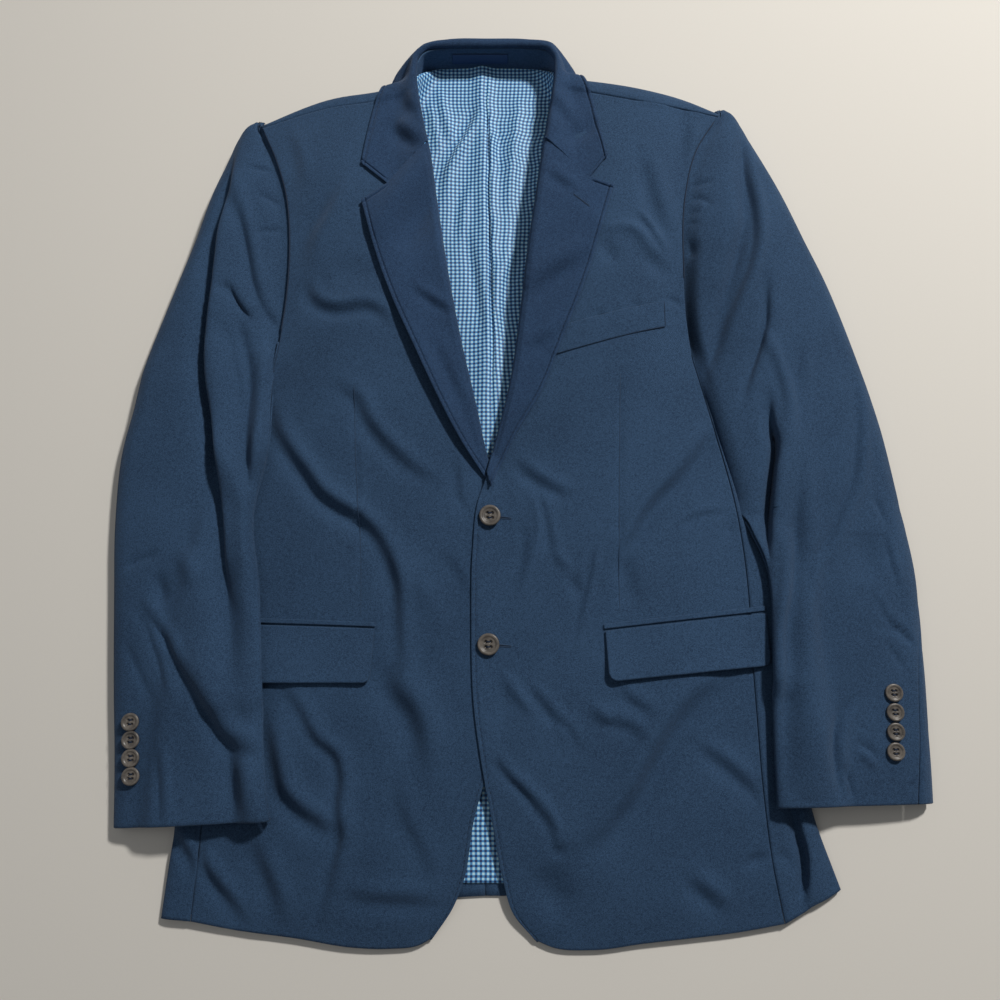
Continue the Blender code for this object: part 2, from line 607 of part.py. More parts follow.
def front_plan(side, u, v):
    """A front seen from above: u from its free edge to the side, v from hem to shoulder."""
    outline = LEFT if side == "l" else RIGHT
    hidden = np.array(outline.roll, float) + (outward(side) * FRONT_UNDER_ROLL, 0.0)
    edge = Line(np.concatenate([np.array(outline.edge, float), hidden, [outline.shoulder[0]]]))
    seam, armhole = Line(outline.side_seam), Line(outline.armhole)
    return coons(edge.at, lambda s: joined(seam, armhole, ARMHOLE, s),
                 Line(outline.hem).at, Line(outline.shoulder).at, u, v)


def front_base(u, v):
    """Height of a front's outer face from its table of levels."""
    table = hermite([row.level for row in FRONT_LEVELS], [row[1:] for row in FRONT_LEVELS], v)
    shares = np.array([0.0, 0.33, 0.67, 1.0])
    out = [hermite(shares, heights, np.array(share))[0]
           for share, heights in zip(np.ravel(u), table.reshape(-1, 4))]
    return np.array(out).reshape(np.shape(u))


def make_front(side):
    levels = np.concatenate([np.linspace(0, ARMHOLE, FRONT_ROWS_LOW + 1),
                             np.linspace(ARMHOLE, 1, FRONT_ROWS_HIGH + 1)[1:]])
    v, u = np.meshgrid(levels, np.linspace(0, 1, FRONT_COLUMNS + 1), indexing="ij")
    plan = front_plan(side, u, v)
    x, y = plan[..., 0], plan[..., 1]
    calm = smooth_step(u, 0.0, 0.12) * (1 - smooth_step(u, 0.86, 1.0)) * smooth_step(v, 0.0, 0.08)
    z = front_base(u, v) + calm * fold_height("front_" + side, x, y)
    if side == "r":
        below = Ground(["front_left", "lapel_left"])
        z = np.maximum(z, below.over(x, y, OVERLAP_REACH) + LAY + WOOL)
    grid = inset(np.stack([x, y, z], axis=-1), right=SEAM / 2, last=SEAM)
    normal = facing(grid, 2, 1)
    if side == "r":
        grid = cleared(grid, grid - normal * WOOL, below, LAY)
    return wall("front_" + word(side), grid, WOOL, wool(), normal)


def side_path(side, level):
    """Dense section of a side panel: from the front seam round the edge to the back seam."""
    outline, rows = (LEFT, LEFT_SIDE) if side == "l" else (RIGHT, RIGHT_SIDE)
    start = Line(outline.side_seam).at(np.array(level))
    row = hermite([r.level for r in rows], [r[1:] for r in rows], np.array(level))
    turn, under = row[:2], row[2:]
    start_z = front_base(np.array([1.0]), np.array([level * ARMHOLE]))[0]
    half = min(SIDE_HALF_HEM + (SIDE_HALF_UNDERARM - SIDE_HALF_HEM) * level, 0.5 * start_z)
    parts = []
    for far, far_z, radius in ((start, start_z, SIDE_RADIUS), (under, 0.0, half + 2.0)):
        span = np.linalg.norm(far - turn)
        bend = min(radius, span * 0.9)
        gaps = np.concatenate([bend * (1 - np.cos(np.linspace(0, np.pi / 2, 14))),
                               np.linspace(bend, span, 14)[1:]])
        z = half + (far_z - half) * round_over(gaps, bend)
        parts.append(np.column_stack([turn + (far - turn) * (gaps / span)[:, None], z]))
    return np.concatenate([parts[0][::-1], parts[1][1:]])


def make_side(side):
    levels = np.linspace(0, 1, FRONT_ROWS_LOW + 1)
    paths = [side_path(side, level) for level in levels]
    grid, normal = sections(paths, SIDE_COLUMNS, (outward(side), 0.0))
    grid = inset(grid, left=SEAM / 2, right=SEAM)
    return wall("side_" + word(side), grid, WOOL, wool(), normal)


# ---------------------------------------------------------------- back and lining

def under_edge(side, level):
    """Where a side panel meets the back beneath the body."""
    rows = LEFT_SIDE if side == "l" else RIGHT_SIDE
    row = hermite([r.level for r in rows], [(r.under_x, r.under_y) for r in rows], np.array(level))
    return row - (outward(side) * SEAM, 0.0)


def back_top(side, column):
    """Upper edge of a back half at a column: its point, the roll's height and reach, and
    the angle at which the roll ends."""
    neck = LEFT_NECK if side == "l" else RIGHT_NECK
    shoulder = Line((LEFT if side == "l" else RIGHT).shoulder)
    share = np.array(max(column - NECK_COLUMNS, 0) / SHOULDER_COLUMNS)
    full = front_base(share[None], np.array([1.0]))[0]
    reach = hermite([r[0] for r in SHOULDER_REACH], [[r[1]] for r in SHOULDER_REACH], share)[0]
    if column < NECK_COLUMNS:
        x, y, height = hermite(np.linspace(0, NECK_COLUMNS, len(neck)), [tuple(n) for n in neck],
                               np.array(float(column)))
        turn = np.arccos(1 - 2 * np.clip(height / full, 0, 1))
        return np.array((x, y)), full, reach, max(turn, SMALLEST_TURN)
    spot = shoulder.at(share) + (0.0, 2 * SEAM)
    spot[0] -= outward(side) * BACK_GAP * float(share)
    return spot, full, reach, np.pi


def back_path(plan, full, reach, turn):
    """Dense upper part of a back's column: flat, then rolled up to the top edge."""
    angle = np.linspace(0, turn, 25)
    forward = ROLL_LEAN * full * (1 - np.cos(angle)) / 2 + reach * np.sin(angle)
    run = np.concatenate(([0.0], np.cumsum(np.linalg.norm(np.diff(plan, axis=0), axis=1))))
    end = run[-1] - forward[-1]
    flat = np.column_stack([np.interp(np.linspace(0, end, BACK_PIN + 1), run, plan[:, k]) for k in (0, 1)])
    ahead = (plan[-1] - flat[-1]) / np.linalg.norm(plan[-1] - flat[-1])
    rolled = flat[-1] + ahead * forward[1:, None]
    return np.concatenate([np.column_stack([flat, np.zeros(len(flat))]),
                           np.column_stack([rolled, full * (1 - np.cos(angle[1:])) / 2])])


def make_back(side):
    """A back half: flat rows that match the side panel's, then over the shoulder."""
    columns = NECK_COLUMNS + SHOULDER_COLUMNS
    shares = np.arange(columns + 1) / columns
    tops = [back_top(side, column) for column in range(columns + 1)]
    top_line = np.array([t[0] for t in tops])
    middle_x = BACK_SEAM_X + outward(side) * SEAM / 2
    top_line[0, 0] = middle_x
    split = under_edge(side, 1.0)
    low = []
    for level in np.linspace(0, 1, FRONT_ROWS_LOW + 1):
        inner = np.array((middle_x, BACK_HEM_Y + (split[1] - BACK_HEM_Y) * level))
        low.append(inner + (under_edge(side, level) - inner) * shares[:, None])
    armhole = (LEFT if side == "l" else RIGHT).armhole
    curve = [np.array(p) - (outward(side) * BACK_GAP, 0.0) for p in armhole[1:-1]]
    rim = Line([split] + curve + [top_line[-1]])
    middle = Line((low[-1][0], top_line[0]))
    paths = []
    v = np.linspace(0, 1, 60)
    for share, (spot, full, reach, turn) in zip(shares, tops):
        plan = coons(middle.at, rim.at, Line((low[-1][0], split)).at,
                     lambda s: np.stack([np.interp(s, shares, top_line[:, k]) for k in (0, 1)], axis=-1),
                     np.full_like(v, share), v)
        paths.append(back_path(plan, full, reach, turn))
    upper, normal = sections(paths, BACK_FLAT_ROWS + BACK_TOP_ROWS, (0.0, 1.0), BACK_PIN, BACK_FLAT_ROWS)
    upper, normal = upper.transpose(1, 0, 2), normal.transpose(1, 0, 2)
    low = np.concatenate([np.array(low), np.zeros((len(low), columns + 1, 1))], axis=-1)
    grid = np.concatenate([low[:-1], upper])
    down = np.concatenate([np.broadcast_to((0.0, 0.0, -1.0), low[:-1].shape), -normal])
    return wall("back_" + word(side), grid, WOOL, wool(), down)


def make_lining():
    y = np.linspace(LINING_STRIPS[0].y, LINING_STRIPS[-1].y, LINING_ROWS + 1)
    v, u = np.meshgrid(y, np.linspace(0, 1, LINING_COLUMNS + 1), indexing="ij")
    strips = hermite([s.y for s in LINING_STRIPS], [s[1:] for s in LINING_STRIPS], v)
    x = strips[..., 0] * (1 - u) + strips[..., 1] * u
    middle = hermite([p[0] for p in PLEAT], [[p[1]] for p in PLEAT], v)[..., 0]
    pleat = PLEAT_HEIGHT * smooth_step(v, PLEAT_END, PLEAT_FULL) * np.exp(-((x - middle) / PLEAT_WIDTH) ** 2)
    ground = Ground(["back_left", "back_right"])
    z = ground.over(x, v, PATCH_REACH) + LAY + LINING + pleat
    grid = np.stack([x, v, z], axis=-1)
    normal = facing(grid, 2, 1)
    grid = cleared(grid, grid - normal * LINING, ground, LAY)
    return wall("back_lining", grid, LINING, material("lining", CHECK_BLUE, 0.45), normal)


# ---------------------------------------------------------------- lapels and collar

def taut(x, z):
    """Heights of cloth that bridges the hollows of what it lies on."""
    keep = [0]
    for k in range(1, len(x)):
        while len(keep) > 1:
            a, b = keep[-2:]
            if (z[b] - z[a]) * (x[k] - x[a]) > (z[k] - z[a]) * (x[b] - x[a]):
                break
            keep.pop()
        keep.append(k)
    return np.interp(x, x[keep], z[keep])


def roll_section(start, end, tip, top, lift, cover, behind=0.0, end_z=0.0):
    """Dense section across a lapel or the collar: round the roll, then out to its edge.

    start and end are the roll line and the free edge seen from above, tip is the height
    of the turned-in end, top the height of the roll or None where it just lies lift
    above what cover gives. behind is 1 where the leaf hangs down to end_z.
    """
    span = np.linalg.norm(end - start)
    bend = min(ROLL_RADIUS, 0.3 * span)
    gaps = np.concatenate([bend * (1 - np.cos(np.linspace(0, np.pi / 2, 9))),
                           np.linspace(bend, span, 30)[1:]])
    plan = start + (end - start) * (gaps / span)[:, None]
    rest = cover(plan[:, 0], plan[:, 1])
    rest[:9] = rest[:9].max()
    rest = taut(gaps, rest)
    lying = rest + lift * np.exp(-gaps / (0.45 * span))
    roll_top = lying[8] if top is None else top
    blend = smooth_step(gaps, bend, 0.55 * span)
    over = np.maximum(roll_top * (1 - blend) + lying * blend, lying)
    share = np.clip((gaps - bend) / (span - bend), 0, 1)
    hang = end_z + (roll_top - end_z) * np.sqrt(np.clip(1 - share ** 2.2, 0, 1))
    z = np.maximum(over * (1 - behind) + hang * behind, rest)
    return np.column_stack([plan, tip + (z - tip) * round_over(gaps, bend)])


def bend_end(dense, shape, fade, pin):
    """Bend the last rows of a patch to an end outline with a corner, which the dense
    point with the index pin reaches."""
    count = dense.shape[0] - 1
    straight = dense[-1, :, :2].copy()
    span = np.linalg.norm(straight[-1] - straight[0])
    share = np.linalg.norm(straight - straight[0], axis=1) / span
    points = np.array(shape, float)
    along = (points - points[0]) @ (points[-1] - points[0]) / span ** 2
    share = np.interp(share, (0.0, share[pin], 1.0), (0.0, along[1], 1.0))
    bent = np.column_stack([np.interp(share, along, points[:, k]) for k in (0, 1)])
    for index in range(count + 1):
        dense[index, :, :2] += (bent - straight) * smooth_step(index / count, 1 - fade, 1.0)


def settle(rows, cover):
    """Put the flat part of rows back on what lies below after their plan has moved."""
    for row in rows:
        row[12:, 2] = np.maximum(row[12:, 2], cover(row[12:, 0], row[12:, 1]))


def make_lapel(side):
    left = side == "l"
    edge = Line(LEFT_LAPEL_EDGE if left else RIGHT_LAPEL_EDGE)
    top = LEFT_LAPEL_TOP if left else RIGHT_LAPEL_TOP
    start = LEFT_LAPEL_START if left else RIGHT_LAPEL_START
    points = [start] + [p for p in (LEFT if left else RIGHT).roll if p[1] < top[0][1]] + [top[0]]
    roll = Line(points)
    ground = Ground(["front_left"] if left else ["front_right", "chest_welt"])
    below = None if left else Ground(["front_left", "lapel_left"])

    def cover(x, y):
        return ground.over(x, y, LAPEL_REACH) + LAY + WOOL

    rows = []
    for share in np.linspace(0, 1, LAPEL_ROWS + 1):
        near, far = roll.at(np.array(share)), edge.at(np.array(share))
        lift = hermite([r[0] for r in LAPEL_LIFT], [[r[1]] for r in LAPEL_LIFT], np.array(share))[0]
        tip = float(ground.over(near[:1], near[1:], FRONT_UNDER_ROLL + 2.0)[0]) - WOOL - 1.0
        if not left:
            tip = max(tip, float(below.over(near[:1], near[1:], LAPEL_REACH)[0]) + LAY)
        rows.append(roll_section(near, far, tip, None, lift, cover))
    dense = np.array(rows)
    bend_end(dense, top, GORGE_FADE, NOTCH_PIN)
    settle(dense[-4:], cover)
    grid, normal = sections(dense, LAPEL_COLUMNS, None, NOTCH_PIN, NOTCH_COLUMN)
    grid = cleared(inset(grid, last=SEAM), grid - normal * WOOL, ground, LAY)
    return wall("lapel_" + word(side), grid, WOOL, wool(), normal)


def make_collar():
    ends = np.array([[r.roll_x, r.roll_y, r.edge_x, r.edge_y] for r in COLLAR], float)
    steps = np.linalg.norm(np.diff(ends[:, :2], axis=0), axis=1) \
        + np.linalg.norm(np.diff(ends[:, 2:], axis=0), axis=1)
    knots = np.concatenate(([0.0], np.cumsum(steps))) / steps.sum()
    ground = Ground(["front_left", "front_right", "back_left", "back_right"])

    def cover(x, y):
        return ground.over(x, y, LAPEL_REACH) + LAY + WOOL

    dense = []
    for share in np.linspace(0, 1, COLLAR_ROWS + 1):
        leaf = Leaf(*hermite(knots, [tuple(r) for r in COLLAR], np.array(share)))
        dense.append(roll_section(np.array((leaf.roll_x, leaf.roll_y)), np.array((leaf.edge_x, leaf.edge_y)),
                                  leaf.tip, leaf.top, 0.0, cover,
                                  behind=float(np.clip(leaf.behind, 0, 1)), end_z=max(leaf.edge_z, 1.0)))
    dense = np.array(dense)
    for first, notch, rows in ((COLLAR[0], LEFT_NOTCH, dense[::-1]), (COLLAR[-1], RIGHT_NOTCH, dense)):
        shape = ((first.roll_x, first.roll_y), notch, (first.edge_x, first.edge_y))
        bend_end(rows, shape, NOTCH_FADE, NOTCH_PIN)
        settle(rows[-int(NOTCH_FADE * COLLAR_ROWS) - 2:], cover)
    grid, normal = sections(dense, COLLAR_COLUMNS, None, NOTCH_PIN, NOTCH_COLUMN)
    grid = inset(grid, first=SEAM, last=SEAM)
    grid = cleared(grid, grid - normal * WOOL, ground, LAY)
    return wall("collar_leaf", grid, WOOL, wool(), normal)


def stand_table(count):
    return hermite(np.linspace(0, 1, len(STAND)), [tuple(row) for row in STAND],
                   np.linspace(0, 1, count + 1))


def make_stand():
    table = stand_table(STAND_ROWS)
    top = np.column_stack([table[:, 3], table[:, 4], np.full(len(table), STAND_TOP)])
    grid = np.stack([table[:, :3], (table[:, :3] + top) / 2, top], axis=0)
    finish = material("stand_wool", NAVY_DARK, 0.85)
    return wall("collar_stand", grid, STAND_WALL, finish, facing(grid, 1, -1))


def make_label():
    table = stand_table(200)
    columns = np.linspace(LABEL.left, LABEL.right, 5)
    rows = []
    for z in (LABEL.bottom, LABEL.top):
        share = (z - table[:, 2]) / (STAND_TOP - table[:, 2])
        x = table[:, 0] + (table[:, 3] - table[:, 0]) * share
        y = table[:, 1] + (table[:, 4] - table[:, 1]) * share
        face = np.interp(columns, x, y) - LAY - LABEL_WALL
        rows.append(np.column_stack([columns, face, np.full(len(columns), z)]))
    grid = np.array(rows)
    return wall("neck_label", grid, LABEL_WALL, material("label", NAVY_DARK, 0.6), facing(grid, 1, -1))


# ---------------------------------------------------------------- pockets

def make_patch(name, corners, rows, columns, ground_names, thickness, corner=0.0):
    """Small flat piece between four corners, laid on the pieces below it."""
    top_left, top_right, low_right, low_left = (np.array(c, float) for c in corners)
    v, u = np.meshgrid(np.linspace(0, 1, rows + 1), np.linspace(0, 1, columns + 1), indexing="ij")
    u1, v1 = u[..., None], v[..., None]
    plan = (low_left * (1 - u1) + low_right * u1) * (1 - v1) + (top_left * (1 - u1) + top_right * u1) * v1
    for c in (0, -1):
        plan[0, c] += (plan[1, c] - plan[0, c]) * corner
    ground = Ground(ground_names)
    z = ground.over(plan[..., 0], plan[..., 1], PATCH_REACH) + LAY + thickness
    grid = np.concatenate([plan, z[..., None]], axis=-1)
    normal = facing(grid, 2, 1)
    grid = cleared(grid, grid - normal * thickness, ground, LAY)
    return wall(name, grid, thickness, wool(), normal)


# ---------------------------------------------------------------- sleeves

def sleeve_rows(side):
    """All rows of a sleeve from its tip to the cuff, with the head's inner ends."""
    left = side == "l"
    heads = LEFT_HEAD if left else RIGHT_HEAD
    armhole = Line((LEFT if left else RIGHT).armhole)
    rows = [LEFT_TIP if left else RIGHT_TIP]
    for index, head in enumerate(heads):
        inner = sleeve_inner(side, armhole, index + 1.0, len(heads))
        rows.append(Sleeve(inner[0], inner[1], head.outer_x, head.outer_y, head.crown, 0, -8))
    return rows + list(LEFT_SLEEVE if left else RIGHT_SLEEVE), armhole, len(heads)


def sleeve_inner(side, armhole, where, underarm):
    """Inner end of a head's section: on the armhole, and outside the side's turn below."""
    share = np.array(1 - (where - 1) / (underarm - 1))
    out = 0.8 + 8.0 * (1 - smooth_step(share, 0.0, 0.22))
    return armhole.at(share) + (outward(side) * out, 0.0)


def sleeve_section(side, where, field, high_field):
    """Top and bottom of a dense section round a sleeve, and its elbow seam's place."""
    rows, armhole, underarm = sleeve_rows(side)
    row = Sleeve(*hermite(np.arange(len(rows)), [tuple(r) for r in rows], np.array(where)))
    lap = float(np.clip(row.lap, 0, 1))
    inner, outer = np.array((row.inner_x, row.inner_y)), np.array((row.outer_x, row.outer_y))
    if 1 <= where <= underarm:
        inner = sleeve_inner(side, armhole, where, underarm)
    width = np.linalg.norm(outer - inner)
    head = float(1 - smooth_step(where, underarm - 0.6, underarm + 0.9))
    bend, low_bend = min(SLEEVE_RADIUS, 0.45 * width), min(SLEEVE_UNDER_RADIUS, 0.4 * width)
    half = SLEEVE_HALF * min(1.0, row.crown / 14.0)
    angles = np.linspace(0, np.pi / 2, 10)

    near = bend * (1 - np.cos(angles))
    gaps = np.concatenate([near, np.linspace(bend, width - bend, 30)[1:-1], width - near[::-1]])
    plan = inner + (outer - inner) * (gaps / width)[:, None]
    base = lap * (field.at(plan[:, 0], plan[:, 1]) + LAY)
    share = gaps / width
    crown = row.crown * (1 - 0.30 * (2 * share - 1) ** 2)
    level = ARMHOLE + (1 - ARMHOLE) * float(np.clip(1 - (where - 1) / (underarm - 1), 0, 1))
    seam_z = front_base(np.array([1.0]), np.array([level]))[0] - ARMHOLE_STEP
    if where < 1:
        seam_z = row.crown + (seam_z - row.crown) * where
    away = smooth_step(share, 0.0, 0.35)
    crown = crown * (1 - head) + (seam_z * (1 - away) + crown * away) * head
    lower = base + half
    pile = lap * (high_field.at(plan[:, 0], plan[:, 1]) + SLEEVE_PILE * (1 - 0.1 * (2 * share - 1) ** 2))
    upper = soft_max(np.maximum(crown, base + 6.0), pile, PILE_BLEND)
    inner_round = round_over(gaps, bend) * (1 - head) + head
    top = np.column_stack([plan, lower + (upper - lower) * inner_round * round_over(width - gaps, bend)])

    near = low_bend * (1 - np.cos(angles))
    gaps = np.concatenate([near, np.linspace(low_bend, width - low_bend, 24)[1:-1], width - near[::-1]])
    gaps = gaps[::-1]
    plan = inner + (outer - inner) * (gaps / width)[:, None]
    base = lap * (field.at(plan[:, 0], plan[:, 1]) + LAY)
    inner_round = round_over(gaps, low_bend) * (1 - head) + head
    bottom = np.column_stack([plan, base + half * (1 - inner_round * round_over(width - gaps, low_bend))])
    return top, bottom, row.seam


def split_section(top, bottom, seam, side, closed):
    """Top sleeve and under sleeve of one section, parted at the elbow seam."""
    loop = np.concatenate([top, bottom[1:]])
    run = np.concatenate(([0.0], np.cumsum(np.linalg.norm(np.diff(loop, axis=0), axis=1))))
    cut = run[len(top) - 1] - seam
    loop = np.column_stack([loop, path_normals(loop, (outward(side), 0.0), closed)])

    def stretch(low, high):
        inside = (run > low) & (run < high)
        ends = [[np.interp(s, run, loop[:, k]) for k in range(6)] for s in (low, high)]
        return np.concatenate([[ends[0]], loop[inside], [ends[1]]])

    top, under = stretch(INNER_SEAM, cut - SEAM / 2), stretch(cut + SEAM / 2, run[-1] - INNER_SEAM)
    top[0, 3:], under[-1, 3:] = loop[0, 3:], loop[-1, 3:]
    return top, under


def make_sleeve(side):
    name = word(side)
    ground = Ground(["front_" + name, "side_" + name, "pocket_flap_" + name, "pocket_jet_" + name])
    x_range = sorted((outward(side) * 150.0, outward(side) * 390.0))
    field = Field(ground, x_range, (0.0, 800.0), 5.0, SLEEVE_REACH)
    high_field = Field(ground, x_range, (0.0, 800.0), 5.0, SLEEVE_REACH + 10.0)
    rows, armhole, underarm = sleeve_rows(side)
    places = np.concatenate([[0.0], np.linspace(1, underarm, FRONT_ROWS_HIGH + 1),
                             np.linspace(underarm, len(rows) - 1, SLEEVE_ROWS_LOW + 1)[1:]])
    parts = [split_section(*sleeve_section(side, place, field, high_field), side, place > underarm + 0.9)
             for place in places]
    top, top_normal = sections([p[0] for p in parts], TOP_SLEEVE_COLUMNS)
    under, under_normal = sections([p[1] for p in parts], UNDER_SLEEVE_COLUMNS)
    across = np.linspace(0, 1, TOP_SLEEVE_COLUMNS + 1)
    calm = smooth_step(across, 0, 0.2) * (1 - smooth_step(across, 0.8, 1))
    top[..., 2] += fold_height("sleeve_" + side, top[..., 0], top[..., 1]) * calm
    lifted = cleared(under, under, ground, LAY)
    lift = (lifted - under)[..., 2]
    top[..., 2] += lift[:, -1:] * (1 - across) + lift[:, :1] * across
    wall("top_sleeve_" + name, top, WOOL, wool(), top_normal)
    wall("under_sleeve_" + name, lifted, WOOL, wool(), under_normal)


# ---------------------------------------------------------------- buttons

def make_button(name, spot, diameter, ground_names):
    """Turned button: a flat foot, a raised rim and a dished middle."""
    radius = diameter / 2
    x, y = spot
    base = float(Ground(ground_names).over(np.array([x]), np.array([y]), radius)[0]) + SEAM
    thick = BUTTON_THICKNESS * diameter
    points = [(x, y, base)]
    for share, up in BUTTON_PROFILE:
        for k in range(BUTTON_SIDES):
            a = 2 * np.pi * k / BUTTON_SIDES
            points.append((x + radius * share * np.cos(a), y + radius * share * np.sin(a), base + thick * up))
    points.append((x, y, base + thick * BUTTON_MIDDLE))
    rings = [1 + BUTTON_SIDES * k for k in range(len(BUTTON_PROFILE))]
    faces = []
    for k in range(BUTTON_SIDES):
        n = (k + 1) % BUTTON_SIDES
        faces.append([0, rings[0] + n, rings[0] + k])
        for low, high in zip(rings[:-1], rings[1:]):
            faces.append([low + k, low + n, high + n, high + k])
        faces.append([rings[-1] + k, rings[-1] + n, len(points) - 1])
    return solid(name, points, faces, material("horn", HORN, 0.35))


# ---------------------------------------------------------------- the garment

def main():
    for old in list(bpy.data.objects):
        bpy.data.objects.remove(old, do_unlink=True)
    make_back("l")
    make_back("r")
    make_lining()
    make_side("l")
    make_side("r")
    make_front("l")
    make_lapel("l")
    make_front("r")
    right_body = ["front_right", "side_right"]
    left_body = ["front_left", "side_left"]
    make_patch("chest_welt", CHEST_WELT, 2, 6, right_body, STAND_WALL)
    make_lapel("r")
    make_collar()
    make_stand()
    make_label()
    make_patch("pocket_flap_right", RIGHT_FLAP, 3, 8, right_body, WOOL, FLAP_CORNER)
    make_patch("pocket_flap_left", LEFT_FLAP, 3, 8, left_body, WOOL, FLAP_CORNER)
    make_patch("pocket_jet_right", RIGHT_JET, 1, 8, right_body, JET_WALL)
    make_patch("pocket_jet_left", LEFT_JET, 1, 8, left_body, JET_WALL)
    make_sleeve("l")
    make_sleeve("r")
    for prefix, spots, diameter, below in (
            ("front_button", FRONT_BUTTONS, FRONT_BUTTON, "front_right"),
            ("cuff_button_left", LEFT_CUFF_BUTTONS, CUFF_BUTTON, "top_sleeve_left"),
            ("cuff_button_right", RIGHT_CUFF_BUTTONS, CUFF_BUTTON, "top_sleeve_right")):
        for number, spot in enumerate(spots, 1):
            make_button("%s_%d" % (prefix, number), spot, diameter, [below])


main()
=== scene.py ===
"""Single breasted blazer, laid flat: the cloth, linings, buttons, stitching and light."""

import math
from collections import namedtuple

import bpy
import numpy as np
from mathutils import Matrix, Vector


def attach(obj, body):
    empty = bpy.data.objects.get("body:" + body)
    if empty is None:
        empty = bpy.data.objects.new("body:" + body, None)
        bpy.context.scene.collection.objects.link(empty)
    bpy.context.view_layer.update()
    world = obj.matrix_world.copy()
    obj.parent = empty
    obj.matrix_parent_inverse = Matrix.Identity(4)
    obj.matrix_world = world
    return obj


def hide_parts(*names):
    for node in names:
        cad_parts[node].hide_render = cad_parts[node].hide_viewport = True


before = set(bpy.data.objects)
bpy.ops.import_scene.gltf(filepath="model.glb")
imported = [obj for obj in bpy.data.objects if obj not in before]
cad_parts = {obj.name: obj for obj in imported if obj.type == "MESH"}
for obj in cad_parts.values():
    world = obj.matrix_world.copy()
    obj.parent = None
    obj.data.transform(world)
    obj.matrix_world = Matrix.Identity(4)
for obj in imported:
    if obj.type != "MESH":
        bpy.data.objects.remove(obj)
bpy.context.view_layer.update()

# ---------------------------------------------------------------- driving dimensions (mm)

METRES = 0.001                  # one table unit in Blender's metres
MIDDLE = (-0.35, 424.95, 0.0)   # middle of the garment's outline, which becomes the origin
WOOL = 2.0                      # wall of a wool panel with its fusing
LINING = 1.0                    # wall of the back lining
STAND_WALL = 1.6                # wall of the collar stand
JET_WALL = 1.2                  # wall of a pocket's jet
WELT_WALL = 0.6                 # wall of the chest welt, sewn down flat
LABEL_WALL = 0.6                # wall of the neck label
SEAM = 0.08                     # gap between two pieces that are sewn together
INNER_SEAM = 0.45               # half of the gap along a sleeve's inner seam
LAY = 0.45                      # gap under a piece that lies on another
ROLL_RADIUS = 4.0               # rounding of the lapel and collar along the roll line
FRONT_UNDER_ROLL = 4.6          # how far a front's edge stays behind the lapel's roll
ARMHOLE = 0.65                  # level of the underarm point on a front's outer edge
SIDE_RADIUS = 12.0              # rounding of the body's side edge
SLEEVE_RADIUS = 13.0            # rounding of a sleeve's top along both of its edges
SLEEVE_UNDER_RADIUS = 7.0       # rounding below a sleeve's edges
SLEEVE_HALF = 6.5               # height of a sleeve's edge over what it lies on
SLEEVE_PILE = 14.0              # thickness of a sleeve where it lies on the body
PILE_BLEND = 8.0                # rounding between that part and the rest
ARMHOLE_STEP = 1.3              # how much lower the sleeve starts than the front's edge
ELBOW_SEAM = -8                 # how far a sleeve head's elbow seam stays inside its outer edge
FRONT_BUTTON, CUFF_BUTTON = 19.0, 15.0  # diameters

# Front: height of the outer face over the surface, a row for each level from hem (0) to
# shoulder (1), at the front edge, a third and two thirds across, and the side.
Level = namedtuple("Level", "level edge near far side")
FRONT_LEVELS = (
    Level(0.00, 4.5, 5.5, 6.0, 7.0),
    Level(0.05, 8.5, 11.0, 11.5, 10.0),
    Level(0.20, 12.5, 17.5, 18.0, 14.0),
    Level(0.35, 13.0, 20.0, 22.0, 16.0),
    Level(0.50, 16.0, 24.0, 25.0, 18.0),
    Level(0.65, 23.0, 31.0, 33.0, 24.0),
    Level(0.80, 27.0, 34.0, 37.0, 31.0),
    Level(0.92, 28.0, 33.0, 36.0, 32.0),
    Level(1.00, 28.0, 30.0, 31.0, 29.0),
)

# Outlines seen from above: the free front edge, the roll line from the break up to the
# neck, the hem, the side seam, the front armhole and the shoulder seam.
Outline = namedtuple("Outline", "edge roll hem side_seam armhole shoulder")
LEFT = Outline(
    edge=((-64, 10), (-48, 33), (-40, 52), (-32, 98), (-14, 165), (-6, 246), (-5, 319), (-7, 365),
          (-15, 386), (-22, 400)),
    roll=((-21, 414), (-31, 460), (-45, 521), (-60, 601), (-71, 674), (-78, 722), (-87, 764)),
    hem=((-64, 10), (-75, 4), (-101, 1), (-130, 2), (-176, 9), (-223, 15), (-262, 22)),
    side_seam=((-262, 22), (-257, 96), (-255, 180), (-249, 265), (-238, 350), (-228, 440), (-214, 521)),
    armhole=((-214, 521), (-208.5, 571), (-208, 619), (-214, 670), (-226, 708), (-242, 744)),
    shoulder=((-97, 786), (-133, 774), (-170, 767), (-242, 744)),
)
RIGHT = Outline(
    edge=((18, 8), (0, 29), (-8, 55), (-17, 101), (-26, 148), (-32, 189), (-35, 266), (-34, 330),
          (-30, 370), (-25, 386), (-18, 402)),
    roll=((-14, 430), (0, 490), (8, 549), (16, 618), (24, 674), (33, 741), (39, 781)),
    hem=((18, 8), (33, 2), (65, 0), (108, 5), (146, 9), (184, 13.5), (222, 20)),
    side_seam=((222, 20), (214, 70), (210, 121), (208, 186), (207, 240), (207, 291), (201, 362),
               (185, 436), (167, 505)),
    armhole=((167, 505), (163, 544), (162, 595), (166, 665), (179, 716), (203, 757)),
    shoulder=((49, 792), (87, 783), (130, 773), (203, 757)),
)

